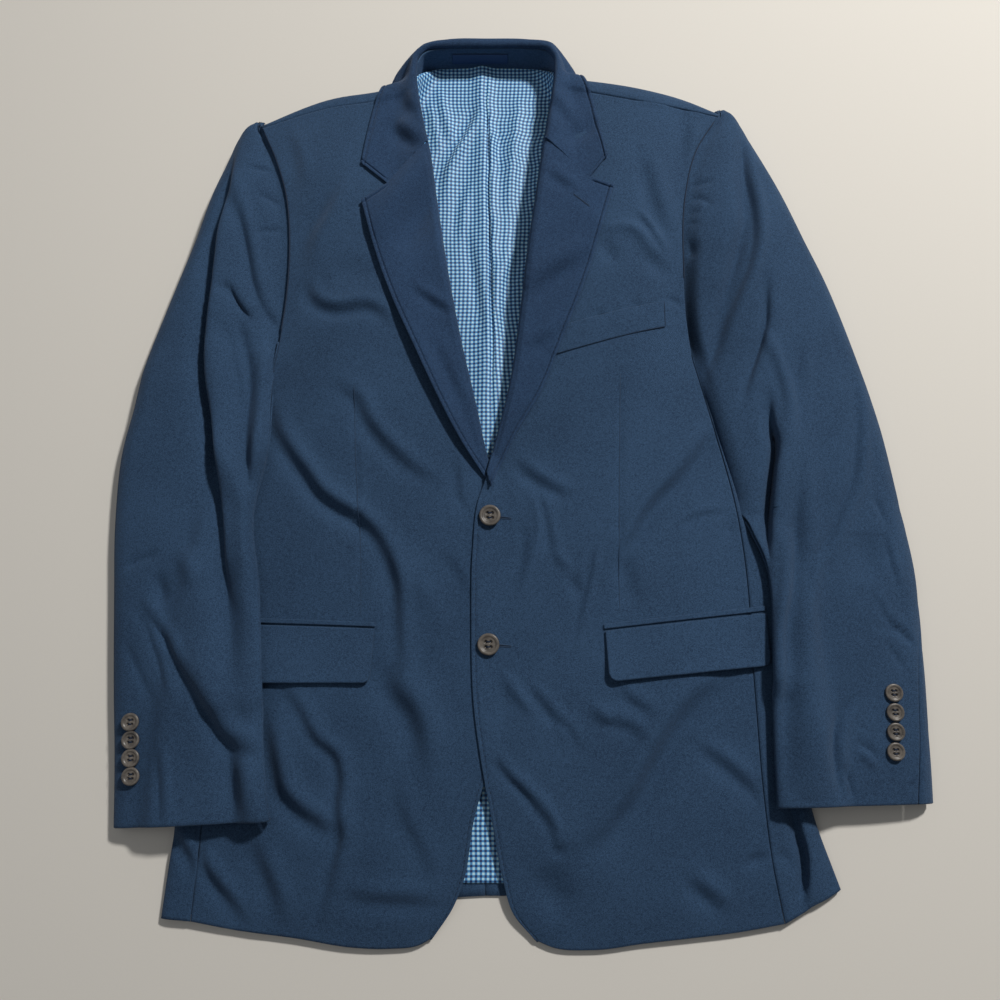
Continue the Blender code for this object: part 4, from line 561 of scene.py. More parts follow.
# Each piece's folds, placed one by one.
FOLDS = {
    "front_l": (  # the dart, then from the armpit and the chest down to the pocket and the hem
        ridge(-0.7, 2.2, (-142, 478), (-141, 445), (-138, 398), (-135, 362), (-132, 326), (-130, 268)),
        band(0.69, 9, (-215, 458), (-211, 439), (-199, 418), (-184, 398), (-169, 378), (-153, 366),
             (-135, 356), (-120, 342), (-108, 322), (-101, 303), (-98, 282)),
        band(0.46, 8, (-108, 322), (-101, 303), (-97, 265), (-95, 243), (-93, 218)),
        band(0.49, 14, (-104, 236), (-99, 209), (-84, 188), (-77, 168), (-76, 141)),
        band(0.46, 9, (-154, 477), (-138, 464), (-129, 445), (-116, 428), (-101, 413), (-85, 400),
             (-70, 391)),
        band(0.36, 6, (-49, 411), (-46, 392), (-45, 378), (-38, 363)),
        band(0.23, 7, (-57, 324), (-45, 307), (-41, 291)),
        band(0.56, 8, (-187, 574), (-182, 562), (-172, 554), (-158, 551), (-145, 553), (-131, 554),
             (-119, 548), (-112, 540)),
        ridge(-1.7, 14, (-164, 580), (-141, 587), (-120, 583)),
        band(0.28, 11, (-160, 684), (-172, 651), (-186, 622), (-190, 597)),
        band(0.2, 9, (-213, 736), (-204, 710), (-199, 677)),
        ridge(1.8, 12, (-97, 335), (-83, 300), (-69, 282), (-63, 257)),
        band(0.63, (8, 6), (-190, 205), (-178, 188), (-165, 166), (-148, 152), (-143, 133), (-145, 113),
             (-141, 90), (-145, 69), (-150, 47), (-157, 23)),
        band(0.63, 10, (-205, 182), (-197, 145), (-191, 125), (-175, 109), (-156, 98), (-144, 92)),
        band(0.54, 8, (-265, 92), (-255, 69), (-242, 53), (-229, 38), (-216, 20)),
        band(0.36, 10, (-213, 86), (-200, 59), (-192, 40), (-189, 21)),
        band(0.33, 9, (-136, 45), (-115, 41), (-94, 40), (-59, 38)),
        band(0.23, 9, (-95, 133), (-88, 102), (-74, 78), (-65, 55)),
    ),
    "front_r": (  # the dart, then from the armpit to the buttons, the chest, and down to the hem
        ridge(-0.7, 2.2, (99, 488), (98, 435), (96, 370), (94, 317), (94, 272)),
        band(-0.66, 9, (182, 440), (164, 414), (147, 393), (131, 377), (119, 362), (109, 346), (99, 330),
             (91, 312)),
        ridge(-2, 9, (96, 321), (100, 300), (100, 277)),
        band(0.4, 4, (150, 352), (168, 360), (192, 364)),
        ridge(-1.8, 4, (203, 359), (197, 350), (190, 341)),
        band(0.56, 4, (91, 346), (81, 338), (73, 326), (70, 308), (65, 289), (60, 268), (53, 242)),
        band(0.49, 7, (6, 408), (19, 396), (32, 387), (51, 377)),
        band(0.41, 5, (25, 383), (30, 362), (34, 344), (39, 321)),
        ridge(1.8, 4, (19, 377), (25, 353), (21, 326), (14, 306), (7, 291)),
        band(0.33, 5, (14, 353), (12, 322), (6, 304)),
        ridge(1.4, 4, (39, 327), (44, 319), (50, 311)),
        ridge(-1.8, 4, (52, 303), (55, 296), (57, 286)),
        ridge(-1.1, 3, (-29, 334), (-24, 334), (-19, 336)),
        ridge(-1.3, 3, (-31, 318), (-24, 319), (-17, 322)),
        ridge(-1.1, 3, (-22, 302), (-19, 295), (-14, 289)),
        ridge(2.1, 6, (85, 631), (99, 633), (110, 633), (122, 626), (131, 612), (144, 600)),
        ridge(2, 4, (121, 651), (132, 635), (147, 610)),
        ridge(-1.5, 4, (121, 644), (127, 636), (134, 626)),
        band(0.33, 11, (130, 708), (138, 665), (149, 627)),
        band(0.26, 9, (176, 761), (172, 730), (167, 695)),
        ridge(1.4, 5, (131, 775), (143, 774), (156, 770)),
        ridge(-1.7, 8, (86, 620), (91, 608), (95, 596)),
        ridge(-1.5, 9, (121, 600), (135, 594), (147, 582)),
        ridge(-1.1, 4, (77, 547), (82, 544), (88, 543)),
        ridge(-1.1, 4, (109, 555), (115, 553), (122, 553)),
        ridge(-1.4, 3, (142, 562), (152, 560), (161, 556)),
        band(-0.59, 13, (180, 215), (159, 203), (142, 187), (126, 164), (113, 143), (103, 125), (89, 108),
             (76, 92), (60, 80)),
        band(0.36, 7, (92, 208), (106, 196), (120, 188)),
        band(0.36, 7, (69, 183), (89, 180), (102, 176), (111, 166)),
        ridge(1.7, 5, (68, 196), (76, 188), (84, 178)),
        band(0.46, 6, (14, 210), (26, 198), (34, 188), (45, 178), (57, 161)),
        ridge(2.1, 5, (-8, 221), (4, 206), (18, 188)),
        ridge(1.4, 4, (37, 183), (42, 174), (48, 162)),
        band(0.74, (6, 5), (-16, 153), (-2, 136), (11, 124), (23, 109), (31, 98), (37, 80)),
        band(0.36, 3.5, (18, 125), (30, 108), (37, 92)),
        ridge(-1.5, 4, (31, 78), (38, 76), (46, 79)),
        ridge(-3.2, 15, (18, 61), (32, 46), (47, 32)),
        band(0.46, 9, (146, 56), (160, 44), (174, 32)),
        band(0.46, 8, (157, 162), (182, 144), (199, 129), (215, 117)),
        ridge(-1.7, 4, (192, 66), (202, 70), (212, 73)),
    ),
    "side_l": (  # beside the front's fold at the hem
        band(0.54, 8, (-286, 107), (-270, 81), (-259, 68), (-243, 53), (-230, 38)),
    ),
    "lapel_l": (  # below the gorge, then toward the break
        band(-0.53, 20, (-68, 705), (-93, 659), (-117, 614)),
        band(0.46, 6, (-91, 572), (-75, 561), (-54, 548)),
        band(0.3, 8, (-74, 529), (-60, 500), (-44, 461)),
    ),
    "lapel_r": (  # below the buttonhole, at the gorge, toward the break
        band(0.45, 12, (15, 566), (38, 587), (53, 597), (72, 612)),
        band(0.28, 8, (36, 692), (46, 684), (62, 672)),
        band(0.25, 9, (14, 514), (34, 525), (48, 541)),
    ),
    "collar": (  # both leaves beside the notches
        band(0.49, 9, (-113, 745), (-99, 731), (-87, 722)),
        band(0.3, 8, (-102, 780), (-98, 764), (-88, 758)),
        ridge(-1.7, 8, (85, 751), (72, 738), (48, 727)),
        band(0.25, 9, (37, 776), (54, 758), (63, 740)),
    ),
    "sleeve_l": (  # the long fold from the head, the armpit, the elbow, the cuff
        tuck(7.6, (4.6, 13), (-268, 716), (-269.5, 676), (-272, 655), (-275, 630), (-275, 603),
             (-275.5, 576), (-277, 542), (-277, 512), (-274, 483), (-268, 454), (-261, 413), (-255, 377),
             (-251, 343), (-249, 317), (-246, 290)),
        ridge(-4.9, 11, (-247, 317), (-242, 273), (-236, 223)),
        band(0.66, 6, (-264, 693), (-259, 671), (-251, 639), (-243, 608), (-236, 577), (-227, 554),
             (-211, 536)),
        ridge(-1.4, 3.5, (-241, 628), (-230, 631), (-216, 633)),
        ridge(-1.7, 4, (-251, 696), (-239, 697), (-230, 695)),
        ridge(-1.4, 4, (-243, 670), (-232, 666), (-220, 657)),
        tuck(3.0, (3, 5), (-262, 578), (-251, 558), (-240, 543)),
        band(0.59, 8, (-247, 540), (-238, 510), (-233, 478), (-233, 444), (-231, 416), (-228, 388),
             (-228, 363)),
        band(0.41, 3.5, (-265, 548), (-257, 527), (-249, 492), (-244, 463), (-240, 435)),
        ridge(2.1, 5, (-265, 522), (-259, 483), (-252, 441)),
        ridge(2.8, 5, (-230, 537), (-224, 497), (-222, 444), (-225, 407), (-227, 361)),
        ridge(3.4, 6, (-261, 454), (-250, 413), (-240, 388), (-232, 364), (-229, 337), (-229, 308),
              (-230, 278)),
        band(0.69, 5, (-320, 282), (-306, 265), (-292, 250), (-281, 231), (-272, 218)),
        band(0.76, (11, 9), (-285, 236), (-265, 209), (-250, 187), (-238, 170), (-220, 160), (-204, 155)),
        band(0.49, 4, (-325, 277), (-313, 262), (-303, 242), (-295, 223), (-288, 202)),
        band(0.49, 5, (-292, 157), (-287, 129), (-284, 99)),
        band(0.66, 11, (-232, 164), (-226, 145), (-223, 126), (-220, 97)),
        ridge(-2.8, 7, (-307, 306), (-304, 292), (-300, 278)),
        ridge(2.1, 8, (-288, 326), (-280, 312), (-271, 295)),
        ridge(-1.4, 3.5, (-340, 311), (-325, 318), (-306, 323)),
        ridge(-1.1, 4, (-333, 248), (-319, 224), (-304, 198)),
        ridge(1.7, 9, (-268, 248), (-252, 221), (-235, 198)),
    ),
    "sleeve_r": (  # the armhole and its puckers, the elbow, the long fold to the cuff
        ridge(-6.3, 9, (227, 735), (223, 698), (223, 666), (222, 639), (215, 613), (206, 582), (196, 550),
              (188, 517), (180, 490)),
        band(0.74, 5, (228, 733), (230, 687), (234, 649), (232, 619), (224, 590), (214, 566), (203, 540),
             (193, 512), (184, 490)),
        tuck(3.5, (4, 7), (238, 582), (235, 532), (227, 508), (219, 488), (210, 465)),
        band(0.33, 6, (270, 517), (266, 497), (261, 477)),
        ridge(2.1, 4, (235, 537), (242, 510), (248, 486), (252, 463), (251, 426)),
        ridge(-1.3, 3, (172, 681), (182, 681), (194, 683)),
        ridge(-1.3, 3, (172, 666), (182, 665), (191, 657)),
        ridge(-0.7, 2.5, (169, 652), (176, 652), (183, 649)),
        ridge(-0.7, 2.5, (168, 642), (174, 641), (181, 638)),
        ridge(-2.1, 5, (170, 623), (173, 615), (173, 605)),
        tuck(8, (4.2, 9), (234, 463), (238, 435), (240, 426), (237, 395), (232, 364), (227, 337),
             (222, 317)),
        ridge(3.1, 5, (252, 483), (251, 426), (246, 379), (242, 343), (235, 290), (227, 262), (222, 206),
              (219, 122)),
        band(0.53, 12, (256, 454), (254, 379), (252, 326), (250, 290), (244, 262), (242, 220), (236, 179),
             (232, 133)),
        ridge(2.5, 12, (253, 206), (253, 166), (250, 118)),
        band(0.69, 6, (290, 195), (280, 187), (273, 174), (270, 148), (273, 122)),
        ridge(-1.4, 3, (273, 145), (278, 132), (281, 118)),
        band(0.56, 6, (318, 483), (314, 426), (306, 386), (295, 364), (280, 334), (264, 314), (255, 286)),
        ridge(-3.1, 16, (310, 343), (311, 321), (307, 295)),
        ridge(-1.3, 3, (321, 376), (326, 363), (330, 350)),
        band(0.46, 4, (331, 339), (334, 317), (337, 294)),
        band(0.46, 4, (315, 287), (326, 267), (338, 255), (351, 244)),
        ridge(-1.3, 3, (312, 259), (334, 256), (348, 240)),
        ridge(-1.1, 3, (318, 246), (327, 235), (335, 224)),
        ridge(-1.1, 3, (286, 163), (295, 159), (304, 151)),
        ridge(1.3, 3, (288, 157), (295, 152), (302, 143)),
    ),
    "side_r": (  # the deep fold at the hem
        ridge(-1.7, 4, (210, 72), (224, 72), (233, 56)),
        tuck(8.0, (4, 7), (236, 117), (238, 93), (242, 78), (242, 58), (237, 36)),
    ),
    "lining": (  # beside the pleat, the pleat's own fold, and long soft ones
        band(0.58, 7, (-36, 774), (-46, 754), (-57, 734), (-65, 719), (-71, 704)),
        band(-0.49, 5, (-18, 767), (-14, 738), (-19, 706)),
        tuck(2.6, (1.5, 3.5), (-23, 822), (-24, 801), (-20, 737), (-20, 691), (-17, 600), (-16, 516),
             (-17, 489), (-17, 452)),
        band(0.4, 6, (-32, 784), (-48, 746), (-63, 712), (-68, 679)),
        band(0.35, 6, (-40, 701), (-47, 679), (-51, 636)),
        band(-0.35, 7, (12, 640), (2, 612), (-7, 586)),
        band(0.3, 8, (30, 760), (22, 700), (12, 650)),
        ridge(1.2, 4, (-81, 792), (-76, 765), (-70, 735)),
        ridge(2.2, 6, (10, 793), (4, 736), (-2, 669)),
        ridge(1.7, 5, (-71, 805), (-64, 770), (-54, 736)),
        band(0.33, 6, (-39, 647), (-31, 594), (-23, 532)),
        band(-0.33, 6, (2, 658), (-4, 594), (-12, 522)),
    ),
    "back_l": (  # soft rises off the floor
        ridge(1.5, (9, 13), (-186, 560), (-150, 500), (-128, 430), (-120, 350)),
        ridge(1.2, (7, 11), (-196, 420), (-176, 340), (-170, 250)),
        ridge(1.6, (12, 9), (-110, 290), (-132, 220), (-142, 130)),
        ridge(0.9, (6, 8), (-92, 200), (-84, 150), (-88, 96)),
    ),
    "back_r": (  # the same on the other half
        ridge(1.6, (12, 9), (150, 590), (118, 520), (98, 440), (92, 380)),
        ridge(1.1, (7, 9), (176, 440), (160, 380), (158, 300)),
        ridge(1.5, (9, 14), (84, 310), (110, 240), (122, 150), (118, 96)),
        ridge(0.8, (6, 7), (170, 230), (176, 180), (172, 120)),
    ),
}

# Depth of each piece's folds, as a factor on the table.
FOLD_GAIN = {
    "front_l": 1.75, "front_r": 1.75, "side_l": 1.6, "side_r": 1.25, "lapel_l": 1.7, "lapel_r": 1.7,
    "collar": 1.9, "sleeve_l": 1.75, "sleeve_r": 1.55, "lining": 1.9, "back_l": 1.0, "back_r": 1.0,
}
STEEPEST = 1.25                 # steepest slope of a BAND
FOLD_STEP = 4.0                 # length of the straight pieces that a fold's line is read by
FOLD_REACH = 3.0                # how far out a fold is felt, in widths
TUCK_REACH = 12.0               # and how much farther for a TUCK
# The cloth beside a TUCK's groove: where its crest is and where it leans over, how wide
# both are, in left widths, and how high and how far they go, in depths of the groove.
CREST_PLACE, CREST_WIDTH, CREST_HEIGHT = 2.4, 2.2, 0.45
LEAN_PLACE, LEAN_WIDTH, LEAN_REACH = 2.2, 1.3, 0.75


def beside(line, spots):
    """For points seen from above: how far left of a line they lie, how far beyond its
    ends, the share of its length that is next to them and the way to its left there."""
    dense, share = densify(line, FOLD_STEP)
    start, way = dense[:-1], np.diff(dense, axis=0)
    length = norm(way)[:, 0]
    gap = spots[:, None, :] - start
    along = np.clip((gap * way).sum(axis=-1) / length ** 2, 0, 1)
    off = gap - along[..., None] * way
    distance = norm(off)[..., 0]
    pick = distance.argmin(axis=-1)
    rows = np.arange(len(pick))
    leftward = np.column_stack([-way[pick, 1], way[pick, 0]]) / length[pick][:, None]
    signed = (leftward * off[rows, pick]).sum(axis=1)
    beyond = np.sqrt(np.maximum(distance[rows, pick] ** 2 - signed ** 2, 0.0))
    return signed, beyond, share[pick] + along[rows, pick] * share[1], leftward


def fold_shift(piece, x, y):
    """Moves of a piece's points by its folds: x, y and z."""
    shift = np.zeros(x.shape + (3,))
    for one in FOLDS[piece]:
        widest = max(one.left, one.right)
        reach = FOLD_REACH * widest + (TUCK_REACH if one.kind == TUCK else 0.0)
        dense = densify(one.line, FOLD_STEP)[0]
        low, high = dense.min(axis=0) - reach, dense.max(axis=0) + reach
        near = (x > low[0]) & (x < high[0]) & (y > low[1]) & (y < high[1])
        if not near.any():
            continue
        signed, beyond, place, leftward = beside(one.line, np.stack([x[near], y[near]], axis=-1))
        size = one.size * FOLD_GAIN[piece]
        if one.kind == BAND:
            size = math.copysign(min(abs(size), STEEPEST), size)
        # It starts and ends shallow, and fades out beyond its ends.
        taper = size * np.sin(np.pi * np.clip(0.03 + 0.94 * place, 0, 1)) ** 0.7
        taper = taper * np.exp(-(beyond / widest) ** 2)
        width = one.right + (one.left - one.right) * (0.5 + 0.5 * np.tanh(signed))
        bell = np.exp(-(signed / width) ** 2)
        if one.kind == RIDGE:
            shift[near, 2] += taper * bell
        elif one.kind == BAND:
            shift[near, 2] += taper * signed * bell
        else:
            widths = signed / one.left
            crest = np.exp(-((widths - CREST_PLACE) / CREST_WIDTH) ** 2)
            lean = np.exp(-((widths - LEAN_PLACE) / LEAN_WIDTH) ** 2)
            shift[near, 2] += taper * (CREST_HEIGHT * crest - bell)
            shift[near, :2] -= leftward * (LEAN_REACH * taper * lean)[:, None]
    return shift


def folded(piece, grid, calm=1.0):
    """A grid moved by its piece's folds, as far as calm lets it."""
    return grid + fold_shift(piece, grid[..., 0], grid[..., 1]) * calm


# ---------------------------------------------------------------- shells and threads

MOST_RIM = 0.45                 # share of the next cell that a wall's rounded rim may take
# A stitched edge: height of its raised part in grooves, that part's place and width in
# insets, the groove's own width, and the gap between RIM and the other columns.
EDGE_HEIGHT, EDGE_PLACE, EDGE_WIDTH = 0.45, 0.5, 0.3
GROOVE_WIDTH = 0.75
RIM_GAP = 1.5
# A stitch from end to end: shares of its length, and height over the cloth.
STITCH_SHARES = np.array([0.0, 0.25, 0.5, 0.75, 1.0])
STITCH_HEIGHTS = np.array([-0.25, 0.1, 0.16, 0.1, -0.25])
UNSTITCHED = 8                  # rows at each end of a lapel or collar without stitches
THREAD_TIP = 0.35               # thickness of a thread's ends, as a share of its middle


def dressed(made, node):
    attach(made, "root")
    if node:
        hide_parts(node)


def grid_object(name, points, faces, finish, uv=None):
    """Mesh object of points in mm and faces of four corners."""
    mesh = bpy.data.meshes.new(name)
    placed = (np.asarray(points, float) - MIDDLE) * METRES
    mesh.vertices.add(len(placed))
    mesh.vertices.foreach_set("co", placed.ravel())
    faces = np.asarray(faces, np.int32)
    mesh.loops.add(faces.size)
    mesh.loops.foreach_set("vertex_index", faces.ravel())
    mesh.polygons.add(len(faces))
    mesh.polygons.foreach_set("loop_start", np.arange(len(faces), dtype=np.int32) * faces.shape[1])
    if uv is not None:
        layer = mesh.uv_layers.new(name="cloth")
        layer.data.foreach_set("uv", np.asarray(uv, float)[faces.ravel()].ravel())
    mesh.update(calc_edges=True)
    mesh.validate()
    mesh.materials.append(finish)
    mesh.shade_smooth()
    made = bpy.data.objects.new(name, mesh)
    bpy.context.scene.collection.objects.link(made)
    return made


def quads_of(index):
    """Faces between the neighbours in a grid of vertex numbers."""
    return np.stack([index[:-1, :-1], index[:-1, 1:], index[1:, 1:], index[1:, :-1]], axis=-1).reshape(-1, 4)


def weave_coordinates(grid):
    """Lengths across and along a grid in metres, for the weave."""
    middle = grid.shape[1] // 2
    across = np.array([run_of(row) for row in grid])
    across -= across[:, middle][:, None]
    along = np.broadcast_to(run_of(grid[:, middle])[:, None], across.shape)
    return np.stack([across, along], axis=-1) * METRES


def shell(node, grid, thickness, finish, facing=1, rim=0.6):
    """A node's closed wall of cloth with rounded rims. The grid is its outer face; facing
    is the sign that turns the grid's own normals outwards."""
    outer, inner = grid.copy(), grid - surface_normals(grid) * facing * thickness
    middle = (outer + inner) / 2
    for layer in (outer, inner):
        turned = layer.transpose(1, 0, 2)
        for view in (layer, layer[::-1], turned, turned[::-1]):
            view[0] += unit(view[2] - view[0]) * np.minimum(rim, MOST_RIM * norm(view[1] - view[0]))
    rows, columns = grid.shape[:2]
    size = rows * columns
    index = np.arange(size).reshape(rows, columns)
    border = np.concatenate([index[0, :-1], index[:-1, -1], index[-1, :0:-1], index[:0:-1, 0]])
    points = np.concatenate([outer.reshape(-1, 3), inner.reshape(-1, 3), middle.reshape(-1, 3)[border]])
    ring = np.arange(len(border)) + 2 * size
    next_border, next_ring = np.roll(border, -1), np.roll(ring, -1)
    walls = [quads_of(index)[:, ::facing],
             quads_of(index)[:, ::-facing] + size,
             np.stack([border, ring, next_ring, next_border], axis=-1)[:, ::facing],
             np.stack([ring, border + size, next_border + size, next_ring], axis=-1)[:, ::facing]]
    uv = weave_coordinates(grid).reshape(-1, 2)
    uv = np.concatenate([uv, uv, uv[border]])
    dressed(grid_object(node + "_cloth", points, np.concatenate(walls), finish, uv), node)


def rim_columns(grid, groove=0.0, weights=None):
    """Give the grid's last column, its free rim, the extra columns of RIM, with a stitched
    groove beside a slightly raised edge."""
    weights = np.ones(len(grid)) if weights is None else weights
    distances = np.array(RIM)
    raised = (distances - EDGE_PLACE * STITCH_INSET) / (EDGE_WIDTH * STITCH_INSET)
    sunk = (distances - STITCH_INSET) / GROOVE_WIDTH
    profile = groove * (EDGE_HEIGHT * np.exp(-raised ** 2) - np.exp(-sunk ** 2))
    rows = []
    for row, weight in zip(grid, weights):
        run = run_of(row)
        whole = run[-1]
        kept = run[:-1] * (whole - distances[0] - RIM_GAP) / run[-2]
        wanted = np.concatenate([kept, whole - distances])
        new = read_path(row, run, wanted)
        new[-len(distances):, 2] += profile * weight
        rows.append(new)
    return np.array(rows)


def rim_rows(grid, groove, weights):
    """The same for the grid's last row."""
    return rim_columns(grid.transpose(1, 0, 2), groove, weights).transpose(1, 0, 2)


def tubes(name, paths, radius, finish, closed=False):
    """Round threads with six sides along 3-D paths, in one mesh."""
    points, faces, base, sides = [], [], 0, 6
    angles = np.arange(sides) * 2 * np.pi / sides
    for path in paths:
        path = np.asarray(path, float)
        count = len(path)
        size = np.full(count, float(radius))
        if closed:
            way = unit(np.roll(path, -1, axis=0) - np.roll(path, 1, axis=0))
        else:
            way = unit(np.gradient(path, axis=0))
            size[[0, -1]] *= THREAD_TIP
        across = unit(np.cross(way, (0.0, 0.0, 1.0)))
        upward = np.cross(across, way)
        spokes = across[:, None] * np.cos(angles)[:, None] + upward[:, None] * np.sin(angles)[:, None]
        points.append((path[:, None] + size[:, None, None] * spokes).reshape(-1, 3))
        for k in range(count if closed else count - 1):
            a, b = base + k * sides, base + (k + 1) % count * sides
            for j in range(sides):
                faces.append((a + j, a + (j + 1) % sides, b + (j + 1) % sides, b + j))
        if not closed:
            for start, turn in ((base, -1), (base + (count - 1) * sides, 1)):
                ends = list(range(start, start + sides))[::turn]
                faces += [(ends[0], ends[1], ends[2], ends[3]), (ends[0], ends[3], ends[4], ends[5])]
        base += count * sides
    dressed(grid_object(name, np.concatenate(points), faces, finish), None)


def stitches(name, grid, length=2.4, gap=2.0, radius=0.3, sink=0.05):
    """A row of small stitches beside a grid's last column."""
    path = np.array([rim_point(row) for row in grid])
    run = run_of(path)
    paths = []
    for start in np.arange(1.0, run[-1] - length, length + gap):
        dash = read_path(path, run, start + STITCH_SHARES * length)
        dash[:, 2] += STITCH_HEIGHTS - sink
        paths.append(dash)
    tubes(name, paths, radius, THREAD_AND_PAINTED_SHADE)


def rim_point(row):
    run = run_of(row)
    return read_path(row, run, max(run[-1] - STITCH_INSET, 0.0))


def on_surface(names, line, step=2.0, raise_by=0.0):
    """3-D path along a line seen from above, on top of the named pieces."""
    flat = densify(line, step)[0]
    top = cover(names, 1, 1)
    return np.column_stack([flat, top(flat[:, 0], flat[:, 1]) + raise_by])


def buttonhole(name, ends, ground, width=1.5, thread=0.42):
    """Worked buttonhole: a ring of thread round a slit, with a dark thread along the slit as its painted
    shade.
    """
    start, end = np.array(ends, float)
    way = unit(end - start)
    side = np.array((-way[1], way[0]))
    turns = np.linspace(-np.pi / 2, np.pi / 2, 7)
    cap = np.column_stack([np.cos(turns), np.sin(turns)]) * width / 2
    loop = np.concatenate([[end + way * c[0] + side * c[1] for c in cap],
                           [start - way * c[0] - side * c[1] for c in cap]])
    ring = []
    for a, b in zip(loop, np.roll(loop, -1, axis=0)):
        count = max(int(np.linalg.norm(b - a) / 1.5), 1)
        ring += [a + (b - a) * k / count for k in range(count)]
    ring = np.array(ring)
    top = cover([ground], 1, 1)
    ring = np.column_stack([ring, top(ring[:, 0], ring[:, 1]) + 0.5 * (thread - 0.32)])
    tubes(name, [ring], thread, WOOL_THREAD, closed=True)
    # A dark thread along the cut paints the slit's shade.
    slit = start + (end - start) * np.linspace(0.04, 0.96, 12)[:, None]
    slit = np.column_stack([slit, top(slit[:, 0], slit[:, 1]) - 0.02])
    tubes(name + "_painted_shade_slit", [slit], thread / 2, THREAD_AND_PAINTED_SHADE)


# ---------------------------------------------------------------- materials

class Paint:
    """One material's nodes. A value is a number or a node's output."""

    def __init__(self, name):
        self.made = bpy.data.materials.new(name)
        self.made.use_nodes = True
        self.tree = self.made.node_tree
        self.shader = self.tree.nodes["Principled BSDF"]
        self.place = self.node("TexCoord").outputs["Object"]

    def node(self, kind):
        return self.tree.nodes.new("ShaderNode" + kind)

    def feed(self, socket, value):
        if isinstance(value, bpy.types.NodeSocket):
            self.tree.links.new(value, socket)
        else:
            socket.default_value = value

    def give(self, node, **values):
        """Feed a node's inputs by their names, with _ for a space."""
        for key, value in values.items():
            name = key.replace("_", " ")
            self.feed([s for s in node.inputs if s.name == name and s.enabled][0], value)
        return node

    def math(self, kind, *values):
        node = self.node("Math")
        node.operation = kind
        for socket, value in zip(node.inputs, values):
            self.feed(socket, value)
        return node.outputs[0]

    def sum(self, a, b):
        return self.math("ADD", a, b)

    def times(self, a, b):
        return self.math("MULTIPLY", a, b)

    def wave(self, run, period):
        return self.math("SINE", self.times(run, 2 * math.pi / period))

    def contrast(self, value, gain):
        """gain times how far a value is over one half."""
        return self.times(self.math("SUBTRACT", value, 0.5), gain)

    def clamp(self, value):
        return self.give(self.node("Clamp"), Value=value).outputs[0]

    def noise(self, scale, detail=2.0, roughness=0.5):
        node = self.node("TexNoise")
        self.give(node, Vector=self.place, Scale=scale, Detail=detail, Roughness=roughness)
        return node.outputs["Fac"]

    def cloth_axes(self):
        """Lengths across and along the cloth, in metres."""
        uv = self.node("UVMap")
        uv.uv_map = "cloth"
        split = self.give(self.node("SeparateXYZ"), Vector=uv.outputs["UV"])
        return split.outputs["X"], split.outputs["Y"]

    def mix(self, factor, a, b):
        node = self.node("Mix")
        node.data_type = "RGBA"
        self.give(node, Factor=factor, A=(*a, 1.0), B=(*b, 1.0))
        return [s for s in node.outputs if s.enabled][0]

    def finish(self, height, strength, depth, **values):
        """The material, with a bump of a depth in metres and the shader's values."""
        bump = self.give(self.node("Bump"), Height=height, Strength=strength, Distance=depth)
        self.give(self.shader, Normal=bump.outputs[0], **values)
        return self.made


def wool_material(name, dark, light):
    """Navy twill: diagonal yarn ridges, flecks of lighter fibre and a soft nap."""
    yarn = 0.00055
    paint = Paint(name)
    across, along = paint.cloth_axes()
    diagonal = paint.sum(paint.sum(across, along), paint.times(paint.noise(350.0, 3.0), 0.0009))
    twill, weft = paint.wave(diagonal, yarn), paint.wave(along, 0.7 * yarn)
    yarns = paint.sum(paint.times(twill, 0.34), paint.times(weft, 0.10))
    fibre, slub, slow = paint.noise(1200.0, 4.0, 0.75), paint.noise(420.0, 2.0, 0.6), paint.noise(14.0, 3.0)
    shade = paint.times(yarns, 0.55)
    for layer, gain in ((fibre, 3.6), (slub, 0.8), (slow, 0.6)):
        shade = paint.sum(shade, paint.contrast(layer, gain))
    colour = paint.mix(paint.clamp(paint.sum(shade, 0.5)), dark, light)
    height = paint.sum(yarns, paint.times(fibre, 1.1))
    return paint.finish(height, 0.5, 0.0003, Base_Color=colour, Roughness=0.88, Specular_IOR_Level=0.22,
                        Sheen_Weight=0.12, Sheen_Roughness=0.45, Sheen_Tint=(0.55, 0.68, 0.9, 1.0))


def check_material(name):
    """Woven gingham: white, mid blue and dark blue squares, with a satin gloss."""
    period = 0.0040
    paint = Paint(name)
    wander = paint.contrast(paint.noise(25.0), 0.0020)
    stripes = [paint.clamp(paint.sum(paint.times(paint.wave(paint.sum(axis, wander), period), 3.0), 0.5))
               for axis in paint.cloth_axes()]
    ramp = paint.node("ValToRGB")
    colours = ramp.color_ramp.elements
    colours[0].color = (0.50, 0.78, 0.92, 1.0)
    colours[1].color = (0.012, 0.030, 0.110, 1.0)
    colours.new(0.5).color = (0.062, 0.25, 0.54, 1.0)
    paint.give(ramp, Fac=paint.times(paint.sum(*stripes), 0.5))
    thread = paint.noise(2600.0)
    shaded = paint.node("VectorMath")
    shaded.operation = "SCALE"
    paint.give(shaded, Vector=ramp.outputs["Color"], Scale=paint.sum(paint.times(thread, 0.4), 0.8))
    return paint.finish(thread, 0.3, 0.00015, Base_Color=shaded.outputs[0], Roughness=0.6, Sheen_Weight=0.1)


def horn_material(name):
    """Dark polished horn, clouded and streaked."""
    paint = Paint(name)
    cloud, streak = paint.noise(160.0, 4.0, 0.6), paint.noise(900.0, 3.0, 0.6)
    shade = paint.math("SUBTRACT", paint.sum(paint.times(cloud, 1.6), paint.times(streak, 0.5)), 0.55)
    colour = paint.mix(paint.clamp(shade), (0.030, 0.027, 0.026), (0.19, 0.165, 0.14))
    return paint.finish(streak, 0.08, 0.0002, Base_Color=colour, Roughness=0.36, Specular_IOR_Level=0.5)


def plain_material(name, colour, roughness, grain, depth, darkest=0.78):
    """One colour with a fine grain, whose dark specks have a share of the colour."""
    paint = Paint(name)
    speck = paint.noise(grain, 3.0, 0.6)
    shade = paint.mix(speck, tuple(c * darkest for c in colour), colour)
    return paint.finish(speck, 0.3, depth, Base_Color=shade, Roughness=roughness, Specular_IOR_Level=0.25)


